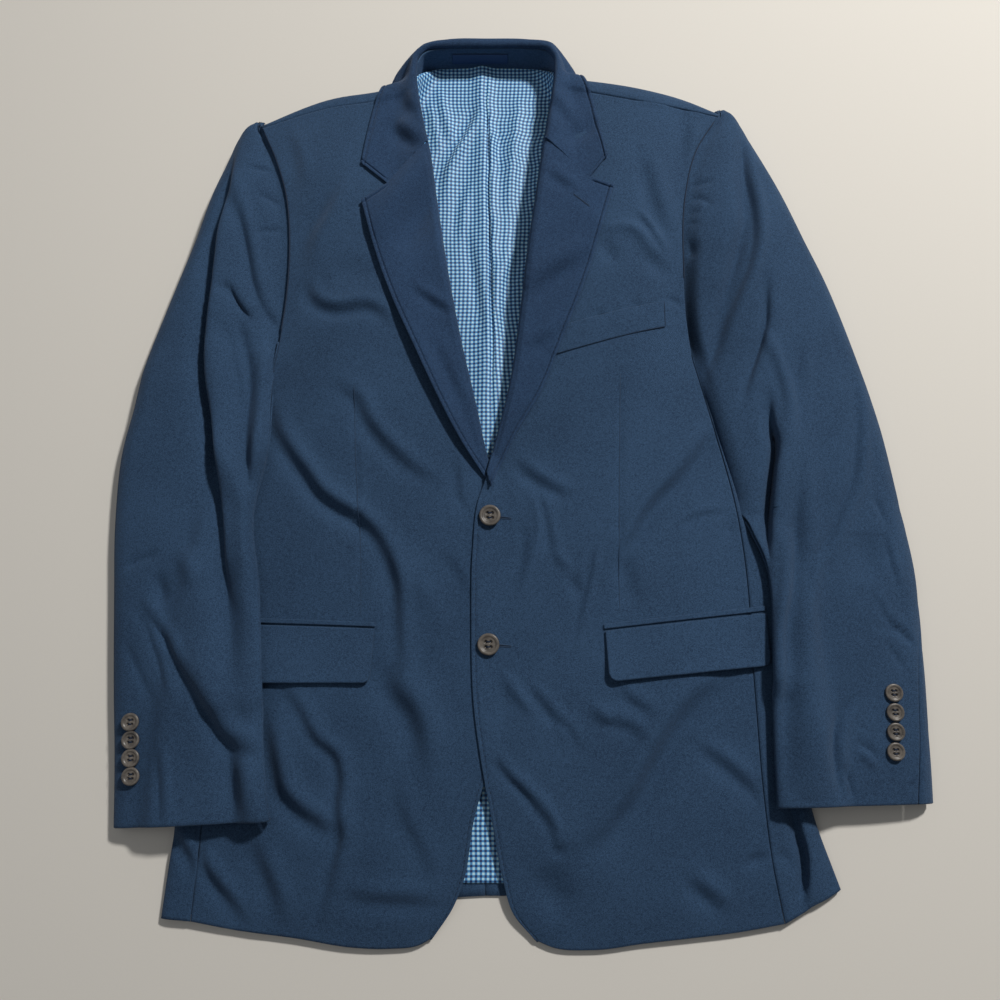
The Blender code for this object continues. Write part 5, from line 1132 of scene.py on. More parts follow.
WOOL_CLOTH = wool_material("navy_wool_twill", (0.012, 0.031, 0.068), (0.042, 0.092, 0.178))
# Facing of the lapels and collar leaf: the same twill made darker, which paints the shade that lies on them.
FACING_CLOTH_PAINTED_SHADE = wool_material("navy_wool_facing_painted_shade", (0.0092, 0.0250, 0.061), (0.032, 0.074, 0.158))
# Collar stand: the same twill made lighter, painted light that offsets the shade the collar casts on it.
STAND_CLOTH_PAINTED_LIGHT = wool_material("navy_undercollar_painted_light", (0.020, 0.050, 0.105), (0.058, 0.120, 0.225))
LINING_CLOTH = check_material("gingham_lining")
WOOL_THREAD = plain_material("buttonhole_thread", (0.030, 0.060, 0.115), 0.6, 1500.0, 0.0001)
LABEL_CLOTH = plain_material("woven_label", (0.024, 0.056, 0.150), 0.34, 1800.0, 0.0001)
# Dark navy for stitches and sewing thread. It is also laid as dark lines that paint the shade of the welt's
# edge, the armhole seams and the buttonhole slits.
THREAD_AND_PAINTED_SHADE = plain_material("navy_thread_and_painted_shade", (0.011, 0.024, 0.055), 0.6, 1500.0, 0.0001)
HORN_RESIN = horn_material("dark_horn")


# ---------------------------------------------------------------- fronts and sides

FRONT_GROOVE = 0.45             # depth of the stitched groove along a front's edge
TURNED_GROOVE = 1.15            # and along the edges of lapels and collar
LOWEST_FRONT = 4.4              # least height of a front's outer face
FREE_FRONT = 0.46               # share of a front's edge that is free of the lapel
LEVEL_PLACES = (0.0, 0.33, 0.67, 1.0)   # shares of the width where FRONT_LEVELS' heights are


def front_plan(side, u, v):
    """A front seen from above: u from its free edge to the side, v from hem to shoulder."""
    outline = OUTLINES[side]
    hidden = np.array(outline.roll, float) + (OUTWARD[side] * FRONT_UNDER_ROLL, 0.0)
    edge = Line(np.concatenate([outline.edge, hidden, [outline.shoulder[0]]]))
    seam, armhole = Line(outline.side_seam), Line(outline.armhole)
    return coons(edge.at, lambda s: joined(seam, armhole, ARMHOLE, s),
                 Line(outline.hem).at, Line(outline.shoulder).at, u, v)


def front_base(u, v):
    """Height of a front's outer face from its table of levels."""
    u, v = np.broadcast_arrays(u, v)
    weights = hermite(LEVEL_PLACES, np.eye(4), u)
    return (read_rows(FRONT_LEVELS, v) * weights).sum(axis=-1)


def make_front(side):
    u, v = share_grid(*FRONT_CELLS)
    grid = np.concatenate([front_plan(side, u, v), front_base(u, v)[..., None]], axis=-1)
    # The folds fade out toward the free edge, the side seam and the hem.
    calm = 0.25 + 0.75 * smooth_step(u, 0.0, 0.07)
    calm = calm * (1 - smooth_step(u, 0.95, 1.0)) * (0.4 + 0.6 * smooth_step(v, 0, 0.04))
    grid = folded("front_" + side, grid, calm[..., None])
    if side == "r":
        below = cover(["front_left", "lapel_left"], OVERLAP_REACH, 10, LAY + WOOL)
        grid[..., 2] = soft_max(grid[..., 2], below(grid[..., 0], grid[..., 1]), 1.0)
    grid[..., 2] = soft_max(grid[..., 2], LOWEST_FRONT, 0.8)
    grid = inset(grid, right=SEAM / 2)
    grid = rim_columns(grid[:, ::-1], FRONT_GROOVE)[:, ::-1]
    node = "front_" + WORD[side]
    lay(node, grid)
    stitches(node + "_edge_stitches", grid[:int(len(grid) * FREE_FRONT), ::-1])
    shell(node, grid, WOOL, WOOL_CLOTH, OUTWARD[side], 0.4)


def side_path(side, level):
    """Dense section of a side panel: from the front seam round the edge to the back seam."""
    start = Line(OUTLINES[side].side_seam).at(level)
    row = read_rows(SIDE_EDGES[side], level)
    turn, under = row[:2], row[2:]
    start_z = float(front_base(1.0, level * ARMHOLE))
    half = min(SIDE_HALF_HEM + (SIDE_HALF_UNDERARM - SIDE_HALF_HEM) * level, 0.5 * start_z)
    parts = []
    for far, far_z, radius in ((start, start_z, SIDE_RADIUS), (under, 0.0, half + 2.0)):
        span = np.linalg.norm(far - turn)
        bend = min(radius, span * 0.9)
        gaps = np.concatenate([bend * (1 - np.cos(np.linspace(0, np.pi / 2, 24))),
                               np.linspace(bend, span, 20)[1:]])
        z = half + (far_z - half) * round_over(gaps, bend)
        parts.append(np.column_stack([turn + (far - turn) * (gaps / span)[:, None], z]))
    return np.concatenate([parts[0][::-1], parts[1][1:]])


def make_side(side):
    columns, rows = SIDE_CELLS
    grid = np.array([resample(side_path(side, level), columns) for level in np.linspace(0, 1, rows + 1)])
    grid = inset(grid, left=SEAM / 2, right=SEAM)
    column = np.arange(columns + 1)
    calm = smooth_step(column, 0, 3) * (1 - smooth_step(column, 9, 17))
    grid = folded("side_" + side, grid, calm[:, None])
    grid[..., 2] = np.maximum(grid[..., 2], 0.0)
    node = "side_" + WORD[side]
    lay(node, grid)
    shell(node, grid, WOOL, WOOL_CLOTH, OUTWARD[side], 0.3)


# ---------------------------------------------------------------- back and lining

BACK_FLAT, BACK_ROLL = 28, 32   # cells above the underarm, up to the roll and along it
PLAN_POINTS = 80                # points of each column there, seen from above
PATH_FLAT = 40                  # points of a back's section before the roll
LINING_LIFT = 1.6               # how far the lining stands off where nothing lies on it
LINING_FREE = (400, 450, 815, 826)      # levels where that starts, is full, starts to end and ends


def under_edge(side, level):
    """Where a side panel meets the back beneath, a seam's width toward the middle."""
    return read_rows(SIDE_EDGES[side], level)[..., 2:] - (OUTWARD[side] * SEAM, 0.0)


def back_top(side, where):
    """Upper edge of a back half at a column (0 to 11): point, height and reach of the roll
    and the angle at which it ends."""
    share = max(where - NECK_COLUMNS, 0) / SHOULDER_COLUMNS
    full = float(front_base(share, 1.0))
    reach = read_value(SHOULDER_REACH[side], share)
    if where < NECK_COLUMNS:
        neck = NECKS[side]
        x, y, height = hermite(np.linspace(0, NECK_COLUMNS, len(neck)), neck, where)
        turn = np.arccos(1 - 2 * np.clip(height / full, 0, 1))
        return np.array((x, y)), full, reach, max(turn, SMALLEST_TURN)
    spot = Line(OUTLINES[side].shoulder).at(share) - (OUTWARD[side] * BACK_GAP * share, 0.5)
    return spot, full, reach, np.pi


def back_path(plan, full, reach, turn):
    """Dense section of a back half: flat up to the roll, then up and over."""
    angle = np.linspace(0, turn, 25)
    forward = ROLL_LEAN * full * (1 - np.cos(angle)) / 2 + reach * np.sin(angle)
    run = run_of(plan)
    flat = read_path(plan, run, np.linspace(0, run[-1] - forward[-1], PATH_FLAT))
    rolled = flat[-1] + unit(plan[-1] - flat[-1]) * forward[1:, None]
    return np.concatenate([np.column_stack([flat, np.zeros(len(flat))]),
                           np.column_stack([rolled, full * (1 - np.cos(angle[1:])) / 2])])


def make_back(side):
    count = NECK_COLUMNS + SHOULDER_COLUMNS
    across, along = BACK_CELLS
    places = np.linspace(0, count, across + 1)
    shares = places / count
    tops = [back_top(side, place) for place in places]
    top_line = np.array([t[0] for t in tops])
    middle_x = BACK_SEAM_X + OUTWARD[side] * SEAM / 2
    top_line[0, 0] = middle_x
    split = under_edge(side, 1.0)
    levels = np.linspace(0, 1, along + 1)
    inner = np.column_stack([np.full(len(levels), middle_x), BACK_HEM_Y + (split[1] - BACK_HEM_Y) * levels])
    low = inner[:, None] + (under_edge(side, levels) - inner)[:, None] * shares[:, None]
    curve = [np.array(p) - (OUTWARD[side] * BACK_GAP, 0.0) for p in OUTLINES[side].armhole[1:-1]]
    rim = Line([split] + curve + [top_line[-1]])
    middle = Line((low[-1][0], top_line[0]))
    foot = Line((low[-1][0], split))
    v = np.linspace(0, 1, PLAN_POINTS)
    columns = []
    for share, (spot, full, reach, turn) in zip(shares, tops):
        plan = coons(middle.at, rim.at, foot.at, lambda s: read_path(top_line, shares, s),
                     np.full_like(v, share), v)
        path = back_path(plan, full, reach, turn)
        columns.append(pinned(path, PATH_FLAT - 1, BACK_FLAT, BACK_ROLL))
    low = np.concatenate([low, np.zeros(low.shape[:2] + (1,))], axis=-1)
    grid = np.concatenate([low[:-1], np.array(columns).transpose(1, 0, 2)])
    raised = np.maximum(fold_shift("back_" + side, grid[..., 0], grid[..., 1])[..., 2], 0.0)
    grid[..., 2] += raised * (1 - smooth_step(grid[..., 2], 0.0, 1.0))
    grid[..., 2] = np.maximum(grid[..., 2], 0.0)
    node = "back_" + WORD[side]
    lay(node, grid + (0.0, 0.0, WOOL))
    shell(node, grid, WOOL, WOOL_CLOTH, -OUTWARD[side], 0.3)


def make_lining():
    u, v = share_grid(*LINING_CELLS)
    y = LINING_STRIPS[0].y + (LINING_STRIPS[-1].y - LINING_STRIPS[0].y) * v
    strips = read_rows(LINING_STRIPS, y)
    x = strips[..., 0] * (1 - u) + strips[..., 1] * u
    pleat = PLEAT_HEIGHT * np.exp(-((x - read_value(PLEAT, y)) / PLEAT_WIDTH) ** 2)
    ground = cover(["back_left", "back_right"], 2, 3, LAY + LINING)
    z = ground(x, y) + pleat * smooth_step(y, PLEAT_END, PLEAT_FULL)
    free = smooth_step(y, *LINING_FREE[:2]) * (1 - smooth_step(y, *LINING_FREE[2:]))
    grid = folded("lining", np.stack([x, y, z], axis=-1), free[..., None])
    grid[..., 2] = soft_max(grid[..., 2] + LINING_LIFT * free, ground(x, y), 0.6)
    lay("back_lining", grid)
    shell("back_lining", grid, LINING, LINING_CLOTH, 1, 0.3)


# ---------------------------------------------------------------- lapels and collar

ROLL_POINTS, LEAF_POINTS = 14, 50       # points of a section round the roll, and beyond it
PIN = 36                        # dense point that reaches the notch corner
ROLL_SHARE = 0.3                # most of a section's width that the rounded roll takes
LIFT_FADE = 0.45                # share of the width over which the lift at the roll fades
LIE_DOWN = 0.55                 # and after which a lapel lies on what is below it
STANDS_OFF = 0.35               # and after which its edge begins to stand off
HANG_POWER = 2.2                # shapes the curve in which the collar hangs behind the neck
SETTLED_LAPEL, SETTLED_COLLAR = 24, 52  # last rows that are kept above what they lie on
LAPEL_NEAR, COLLAR_NEAR, FAR = 32, 28, 20   # cells before and beyond that point


def taut(x, z):
    """Heights of cloth that bridges the hollows of what it lies on."""
    keep = [0]
    for k in range(1, len(x)):
        while len(keep) > 1:
            a, b = keep[-2:]
            if (z[b] - z[a]) * (x[k] - x[a]) > (z[k] - z[a]) * (x[b] - x[a]):
                break
            keep.pop()
        keep.append(k)
    return np.interp(x, x[keep], z[keep])


def roll_section(start, end, tip, top, lift, below, behind=0.0, end_z=0.0, edge_lift=0.0):
    """Dense section across a lapel or the collar: round the roll, then out to its edge."""
    span = np.linalg.norm(end - start)
    bend = min(ROLL_RADIUS, ROLL_SHARE * span)
    gaps = np.concatenate([bend * (1 - np.cos(np.linspace(0, np.pi / 2, ROLL_POINTS))),
                           np.linspace(bend, span, LEAF_POINTS)[1:]])
    plan = start + (end - start) * (gaps / span)[:, None]
    rest = below(plan[:, 0], plan[:, 1])
    rest[:ROLL_POINTS] = rest[:ROLL_POINTS].max()
    rest = taut(gaps, rest)
    lying = rest + lift * np.exp(-gaps / (LIFT_FADE * span))
    roll_top = lying[ROLL_POINTS - 1] if top is None else top
    blend = smooth_step(gaps, bend, LIE_DOWN * span)
    over = np.maximum(roll_top * (1 - blend) + lying * blend, lying)
    share = np.clip((gaps - bend) / (span - bend), 0, 1)
    hang = end_z + (roll_top - end_z) * np.sqrt(np.clip(1 - share ** HANG_POWER, 0, 1))
    z = np.maximum(over * (1 - behind) + hang * behind, rest)
    z = z + edge_lift * smooth_step(share, STANDS_OFF, 1.0)
    return np.column_stack([plan, tip + (z - tip) * round_over(gaps, bend)])


def bend_end(dense, shape, fade):
    """Bend the last rows to an end outline with a corner, reached by the point PIN."""
    straight = dense[-1, :, :2].copy()
    away = norm(straight - straight[0])[:, 0]
    span = away[-1]
    points = np.array(shape, float)
    along = (points - points[0]) @ (points[-1] - points[0]) / span ** 2
    share = np.interp(away / span, (0.0, away[PIN] / span, 1.0), (0.0, along[1], 1.0))
    bent = read_path(points, along, share)
    for index in range(len(dense)):
        dense[index, :, :2] += (bent - straight) * smooth_step(index / (len(dense) - 1), 1 - fade, 1.0)


def pinned(row, pin, near, far):
    """A dense row resampled so that its point pin becomes the column near."""
    return np.concatenate([resample(row[:pin + 1], near), resample(row[pin:], far)[1:]])


def settle(rows, below):
    """Keep the flat parts of dense rows above what they lie on."""
    for row in rows:
        flat = row[ROLL_POINTS + 2:]
        flat[:, 2] = np.maximum(flat[:, 2], below(flat[:, 0], flat[:, 1]))


def make_lapel(side):
    node, lapel = "lapel_" + WORD[side], LAPELS[side]
    ground = ["front_left"] if side == "l" else ["front_right", "chest_welt"]
    below, tucked = cover(ground, 2, 6, LAY + WOOL), cover(ground, 6, 3)
    under = cover(["front_left", "lapel_left"], 4, 3, LAY) if side == "r" else None
    edge = Line(lapel.edge)
    roll = Line([lapel.start] + [p for p in OUTLINES[side].roll if p[1] < lapel.top[0][1]] + [lapel.top[0]])
    rows = []
    for share in np.linspace(0, 1, LAPEL_ROWS + 1):
        near, far = roll.at(share), edge.at(share)
        tip = height_at(tucked, near) - WOOL - 1.0
        if under:
            tip = max(tip, height_at(under, near))
        rows.append(roll_section(near, far, tip, None, read_value(LAPEL_LIFT, share), below,
                                 edge_lift=read_value(lapel.edge_lift, share)))
    dense = np.array(rows)
    bend_end(dense, lapel.top, GORGE_FADE)
    settle(dense[-SETTLED_LAPEL:], below)
    grid = np.array([pinned(row, PIN, LAPEL_NEAR, FAR) for row in dense])
    grid = inset(folded("lapel_" + side, grid), last=SEAM / 2)
    free = smooth_step(np.arange(grid.shape[1]), LAPEL_NEAR + 1, LAPEL_NEAR + 4)
    grid = rim_columns(rim_rows(grid, TURNED_GROOVE, free), TURNED_GROOVE)
    lay(node, grid)
    stitches(node + "_stitches", grid[UNSTITCHED:-UNSTITCHED])
    shell(node, grid, WOOL, FACING_CLOTH_PAINTED_SHADE, OUTWARD[side], 0.8)


def make_collar():
    table = np.array(COLLAR, float)
    knots = run_of(table[:, :2]) + run_of(table[:, 4:6])
    below = cover(["front_left", "front_right", "back_left", "back_right"], 2, 6, LAY + WOOL)
    rows = []
    for share in np.linspace(0, 1, COLLAR_ROWS + 1):
        leaf = Leaf(*hermite(knots, table, share * knots[-1]))
        rows.append(roll_section(np.array((leaf.roll_x, leaf.roll_y)), np.array((leaf.edge_x, leaf.edge_y)),
                                 leaf.tip, leaf.top, 0.0, below,
                                 behind=np.clip(leaf.behind, 0, 1), end_z=max(leaf.edge_z, 1.0)))
    dense = np.array(rows)
    for end, notch, toward in ((COLLAR[0], LEFT_NOTCH, dense[::-1]), (COLLAR[-1], RIGHT_NOTCH, dense)):
        bend_end(toward, ((end.roll_x, end.roll_y), notch, (end.edge_x, end.edge_y)), NOTCH_FADE)
        settle(toward[-SETTLED_COLLAR:], below)
    grid = np.array([pinned(row, PIN, COLLAR_NEAR, FAR) for row in dense])
    grid = inset(folded("collar", grid), first=SEAM / 2, last=SEAM / 2)
    free = smooth_step(np.arange(grid.shape[1]), COLLAR_NEAR + 1, COLLAR_NEAR + 4)
    for _ in range(2):
        grid = rim_rows(grid, TURNED_GROOVE, free)[::-1]
    grid = rim_columns(grid, TURNED_GROOVE)
    lay("collar_leaf", grid)
    stitches("collar_leaf_stitches", grid[UNSTITCHED:-UNSTITCHED])
    shell("collar_leaf", grid, WOOL, FACING_CLOTH_PAINTED_SHADE, -1, 0.8)


def stand_ends(count):
    """Points along the stand's foot and along its top."""
    table = hermite(np.linspace(0, 1, len(STAND)), STAND, np.linspace(0, 1, count + 1))
    return table[:, :3], np.column_stack([table[:, 3:], np.full(len(table), STAND_TOP)])


def make_stand():
    columns, rows = STAND_CELLS
    foot, top = stand_ends(columns)
    share = np.linspace(0, 1, rows + 1)[:, None, None]
    shell("collar_stand", foot * (1 - share) + top * share, STAND_WALL, STAND_CLOTH_PAINTED_LIGHT, 1, 0.5)


def make_label():
    foot, top = stand_ends(400)
    columns = np.linspace(LABEL.left, LABEL.right, LABEL_CELLS[0] + 1)
    rows = []
    for z in np.linspace(LABEL.bottom, LABEL.top, LABEL_CELLS[1] + 1):
        line = foot + (top - foot) * ((z - foot[:, 2]) / (STAND_TOP - foot[:, 2]))[:, None]
        y = np.interp(columns, line[:, 0], line[:, 1]) - LAY - LABEL_WALL
        rows.append(np.column_stack([columns, y, np.full(len(columns), z)]))
    shell("neck_label", np.array(rows), LABEL_WALL, LABEL_CLOTH, 1, 0.2)


# ---------------------------------------------------------------- pockets

PATCH_LIFT_POWER = 1.6          # how soon a flap's lift fades out above its lower edge
FLAP_COLUMNS = 90               # cells across a flap or jet


def make_patch(node, corners, rows, columns, ground, thickness, corner=0.0, lifts=None, gap=LAY):
    """Small flat piece between four corners, laid on the pieces below it; corner is the
    radius of its lower corners and lifts how far its lower edge stands off, by the share
    of its width."""
    top_left, top_right, low_right, low_left = np.array(corners, float)
    u, v = share_grid(columns, rows)
    u1, v1 = u[..., None], v[..., None]
    plan = (low_left * (1 - u1) + low_right * u1) * (1 - v1) + (top_left * (1 - u1) + top_right * u1) * v1
    if corner:
        from_side = np.minimum(np.minimum(u, 1 - u) * norm(low_right - low_left), corner)
        drop = corner - np.sqrt(np.clip(corner ** 2 - (corner - from_side) ** 2, 0, None))
        plan += unit(top_left - low_left) * (drop * (1 - v))[..., None]
    z = cover(ground, 2, 3, gap + thickness)(plan[..., 0], plan[..., 1])
    if lifts:
        z = z + read_value(lifts, u) * (1 - v) ** PATCH_LIFT_POWER
    grid = np.concatenate([plan, z[..., None]], axis=-1)
    lay(node, grid)
    shell(node, grid, thickness, WOOL_CLOTH, 1, 0.5)


# ---------------------------------------------------------------- sleeves

TOP_COLUMNS, UNDER_COLUMNS = 84, 30
TIP_ROWS, HEAD_ROWS, SLEEVE_ROWS = 11, 95, 183  # cells up to the armhole, along it and below it
HEAD_END = (0.05, 0.3, 0.55, 0.8)       # shares of the way out of the sections that close a head
HEAD_BEFORE, HEAD_AFTER = 0.6, 0.9      # rows around the underarm where a head turns into a sleeve
FULL_CROWN = 14.0               # below this crown the lower half of a section gets thinner
SECTION_POINTS, LOWER_POINTS = 60, 40   # points across the top and the bottom of a section


def sleeve_inner(side, armhole, where):
    """Inner edge of a sleeve head, which follows the armhole."""
    share = 1 - (where - 1) / (len(ARMS[side].heads) - 1)
    out = sum(by * (1 - smooth_step(share, low, high)) for by, low, high in HEAD_OUT[side]) - HEAD_INSIDE
    return armhole.at(share) + (OUTWARD[side] * out, 0.0)


def sleeve_rows(side):
    """Rows of a sleeve's sections: the tip, those along the armhole, those below it."""
    arm, armhole = ARMS[side], Line(OUTLINES[side].armhole)
    heads = [Sleeve(*sleeve_inner(side, armhole, where), *head, ELBOW_SEAM)
             for where, head in enumerate(arm.heads, 1)]
    return [arm.tip] + heads + list(arm.sections), armhole


def across_sleeve(inner, outer, bend, count):
    """Points across a sleeve, close together along both of its edges, and their distances."""
    width = np.linalg.norm(outer - inner)
    near = bend * (1 - np.cos(np.linspace(0, np.pi / 2, 14)))
    gaps = np.concatenate([near, np.linspace(bend, width - bend, count)[1:-1], width - near[::-1]])
    return inner + (outer - inner) * (gaps / width)[:, None], gaps


def sleeve_section(side, where, table, field, high_field):
    """Top and bottom of a dense section round a sleeve, and its elbow seam's place."""
    rows, armhole = table
    arm, underarm = ARMS[side], len(ARMS[side].heads)
    row = Sleeve(*hermite(np.arange(len(rows)), rows, where))
    inner, outer = np.array((row.inner_x, row.inner_y)), np.array((row.outer_x, row.outer_y))
    if 1 <= where <= underarm:
        inner = sleeve_inner(side, armhole, where)
    lap = np.clip(row.lap, 0, 1)
    width = np.linalg.norm(outer - inner)
    head = 1 - smooth_step(where, underarm - HEAD_BEFORE, underarm + HEAD_AFTER)
    half = SLEEVE_HALF * min(1.0, row.crown / FULL_CROWN)

    bend = min(SLEEVE_RADIUS, 0.45 * width)
    plan, gaps = across_sleeve(inner, outer, bend, SECTION_POINTS)
    share = gaps / width
    base = lap * (field(plan[:, 0], plan[:, 1]) + LAY)
    crown = row.crown * (1 - CROWN_DROP * (2 * share - 1) ** 2)
    high = np.clip(1 - (where - 1) / (underarm - 1), 0, 1)
    dip = arm.dip * (1 - smooth_step(high, 0.1, arm.calm_from))
    seam_z = front_base(1.0, ARMHOLE + (1 - ARMHOLE) * high) - ARMHOLE_STEP - dip
    if where < 1:
        seam_z = row.crown + (seam_z - row.crown) * where
    away = smooth_step(share, 0.0, CREASE - arm.steeper * dip)
    crown = crown * (1 - head) + (seam_z * (1 - away) + crown * away) * head
    pile = SLEEVE_PILE * (1 - PILE_DROP * (2 * share - 1) ** 2)
    pile = lap * (high_field(plan[:, 0], plan[:, 1]) + pile)
    upper = soft_max(np.maximum(crown, base + THINNEST), pile, PILE_BLEND)
    lower = base + half
    rounded = (round_over(gaps, bend) * (1 - head) + head) * round_over(width - gaps, bend)
    top = np.column_stack([plan, lower + (upper - lower) * rounded])

    bend = min(SLEEVE_UNDER_RADIUS, 0.4 * width)
    plan, gaps = across_sleeve(inner, outer, bend, LOWER_POINTS)
    base = lap * (field(plan[:, 0], plan[:, 1]) + LAY)
    rounded = (round_over(gaps, bend) * (1 - head) + head) * round_over(width - gaps, bend)
    bottom = np.column_stack([plan, base + half * (1 - rounded)])[::-1]
    return top, bottom, row.seam


def split_section(top, bottom, seam):
    """Top sleeve and under sleeve of one section, parted at the elbow seam."""
    loop = np.concatenate([top, bottom[1:]])
    run = run_of(loop)
    cut = run[len(top) - 1] - seam

    def stretch(low, high):
        inside = (run > low) & (run < high)
        ends = read_path(loop, run, (low, high))
        return np.concatenate([ends[:1], loop[inside], ends[1:]])

    return stretch(INNER_SEAM, cut - SEAM / 2), stretch(cut + SEAM / 2, run[-1] - INNER_SEAM)


def head_end(part):
    """Sections that close a sleeve head toward the seam at the shoulder."""
    seam = min((part[0][0], part[0][-1]), key=lambda point: abs(point[0] - BACK_SEAM_X))
    return [[seam + (run - seam) * share for run in part] for share in HEAD_END]


def make_sleeve(side):
    name = WORD[side]
    below = [piece + name for piece in ("front_", "side_", "pocket_flap_", "pocket_jet_")]
    field, high_field = cover(below, reach=15, turns=30), cover(below, reach=22, turns=60)
    table = sleeve_rows(side)
    underarm, last = len(ARMS[side].heads), len(table[0]) - 1
    places = np.concatenate([np.linspace(0, 1, TIP_ROWS + 1)[:-1],
                             np.linspace(1, underarm, HEAD_ROWS + 1)[:-1],
                             np.linspace(underarm, last, SLEEVE_ROWS + 1)])
    parts = [split_section(*sleeve_section(side, place, table, field, high_field)) for place in places]
    parts = head_end(parts[0]) + parts
    top = np.array([resample(part[0], TOP_COLUMNS) for part in parts])
    under = np.array([resample(part[1], UNDER_COLUMNS) for part in parts])
    across = np.linspace(0, 1, TOP_COLUMNS + 1)
    # The folds fade out toward both seams.
    calm = smooth_step(across, 0, 0.08) * (1 - smooth_step(across, 0.92, 1))
    top = folded("sleeve_" + side, top, calm[:, None])
    facing = -OUTWARD[side]
    for node, grid in (("top_sleeve_" + name, top), ("under_sleeve_" + name, under)):
        grid += surface_normals(grid) * facing * WOOL
        grid[..., 2] = np.maximum(grid[..., 2], 0.0)
        lay(node, grid)
        shell(node, grid, WOOL, WOOL_CLOTH, facing)


# ---------------------------------------------------------------- buttons

BUTTON_ROWS, FACE_RINGS = 48, 22    # cells from a button's middle to its back; rings of its face
BUTTON_SIDES = 52
HOLE_RIM = (0.55, 0.95)         # where a hole is deepest and where it starts, in hole radii
HOLE_DEPTH = 0.55               # as a share of the thickness
LANE = 0.32                     # from a pair of holes' middle line to each of its two threads
LANE_POINTS = 7
BAR_LOW, BAR_RISE = 0.50, 0.20  # height of a thread's ends and its rise, in thicknesses
BUTTON_THREAD = 0.3             # radius


def make_button(node, spot, diameter, ground):
    """Four-hole button: rounded back, raised rim, dished middle and sewing thread."""
    radius, thick = diameter / 2, BUTTON_THICKNESS * diameter
    hole, place = BUTTON_HOLE * diameter, HOLE_PLACE * diameter
    x, y = spot
    base = height_at(cover([ground], int(radius), 1), spot) + SEAM
    count = len(BUTTON_RINGS)
    rings = hermite(np.arange(count), BUTTON_RINGS, np.linspace(0, count - 1, BUTTON_ROWS + 1))
    turns = np.linspace(0, 2 * np.pi, BUTTON_SIDES + 1)
    r, z = rings[:, :1] * radius, rings[:, 1:] * thick
    px, py = r * np.cos(turns), r * np.sin(turns)
    gap = np.hypot(abs(px) - place, abs(py) - place) / hole
    depth = 1 - smooth_step(gap, *HOLE_RIM)
    depth[FACE_RINGS:] = 0.0
    grid = np.stack([x + px, y + py, base + z - depth * thick * HOLE_DEPTH], axis=-1)
    index = np.arange(grid.shape[0] * grid.shape[1]).reshape(grid.shape[:2])
    index[:, -1] = index[:, 0]
    made = grid_object(node + "_turned", grid.reshape(-1, 3), quads_of(index.T), HORN_RESIN)
    bars = []
    xs = np.linspace(-1, 1, LANE_POINTS)
    for row in (-1, 1):
        for lane in (-LANE, LANE):
            bars.append(np.column_stack([x + xs * place, np.full(LANE_POINTS, y + row * place + lane),
                                         base + thick * (BAR_LOW + BAR_RISE * (1 - xs ** 4))]))
    tubes(node + "_thread", bars, BUTTON_THREAD, THREAD_AND_PAINTED_SHADE)
    dressed(made, node)


# ---------------------------------------------------------------- seams

ARMHOLE_SUNK, SHOULDER_SUNK, GORGE_SUNK = 0.45, 1.0, 0.9    # how far below the surface
SEAM_END = 0.97                 # share of an armhole or shoulder at which its seam ends
DART_THREAD = 0.24


def armhole_seam(side, low):
    """The sunk line where a sleeve head is sewn to the front, down to a share of the armhole; a dark thread
    along it paints the seam's shade.
    """
    shares = np.linspace(low, SEAM_END, 120)
    z = front_base(1.0, ARMHOLE + (1 - ARMHOLE) * shares)
    return np.column_stack([Line(OUTLINES[side].armhole).at(shares), z - ARMHOLE_SUNK])


def shoulder_seam(side):
    """The line just below the surface where a front meets the back at the shoulder."""
    shares = np.linspace(0.02, SEAM_END, 60)
    flat = Line(OUTLINES[side].shoulder).at(shares) + (0.0, 0.1)
    return np.column_stack([flat, front_base(shares, 1.0) - SHOULDER_SUNK])


def gorge_seam(side):
    """The line just below the surface where a lapel meets the collar."""
    return on_surface(["lapel_" + WORD[side], "collar_leaf"], LAPELS[side].gorge_seam, 1.0, -GORGE_SUNK)


def make_threads():
    for number, ends in enumerate(BUTTONHOLES, 1):
        buttonhole("buttonhole_%d" % number, ends, "front_right")
    buttonhole("lapel_buttonhole", LAPEL_HOLE, "lapel_right", 0.8, 0.24)
    tubes("darts", [on_surface(["front_left"], LEFT_DART, 3.0, -0.18),
                    on_surface(["front_right"], RIGHT_DART, 3.0, -0.18)], DART_THREAD, WOOL_THREAD)
    # Dark thread along the welt's right end and lower edge paints the shadow under its edge.
    welt = ["chest_welt", "front_right"]
    corners = np.array(CHEST_WELT, float)
    tubes("welt_edge_painted_shadow", [on_surface(welt, np.linspace(corners[1], corners[2], 8), 3.0, -0.2),
                        on_surface(welt, np.linspace(corners[2], corners[3], 12), 3.0, -0.3)], 0.24, THREAD_AND_PAINTED_SHADE)
    tubes("shoulder_seams", [shoulder_seam(side) for side in "lr"], 1.0, WOOL_CLOTH)
    tubes("gorge_seams", [gorge_seam(side) for side in "lr"], 0.8, FACING_CLOTH_PAINTED_SHADE)
    # Dark threads sunk in the armhole seams paint the shade of their grooves.
    tubes("armhole_seams_painted_shade", [armhole_seam("l", 0.05), armhole_seam("r", 0.3)], 0.5, THREAD_AND_PAINTED_SHADE)


# ---------------------------------------------------------------- the garment

# Flaps and jets: the start of the node's name, corners by side, rows of cells, wall, corner
# radius and lifts by side.
POCKETS = (
    ("pocket_flap_", {"r": RIGHT_FLAP, "l": LEFT_FLAP}, 28, WOOL, FLAP_CORNER,
     {"r": RIGHT_FLAP_LIFTS, "l": LEFT_FLAP_LIFTS}),
    ("pocket_jet_", {"r": RIGHT_JET, "l": LEFT_JET}, 4, JET_WALL, 0.0, {"r": None, "l": None}),
)


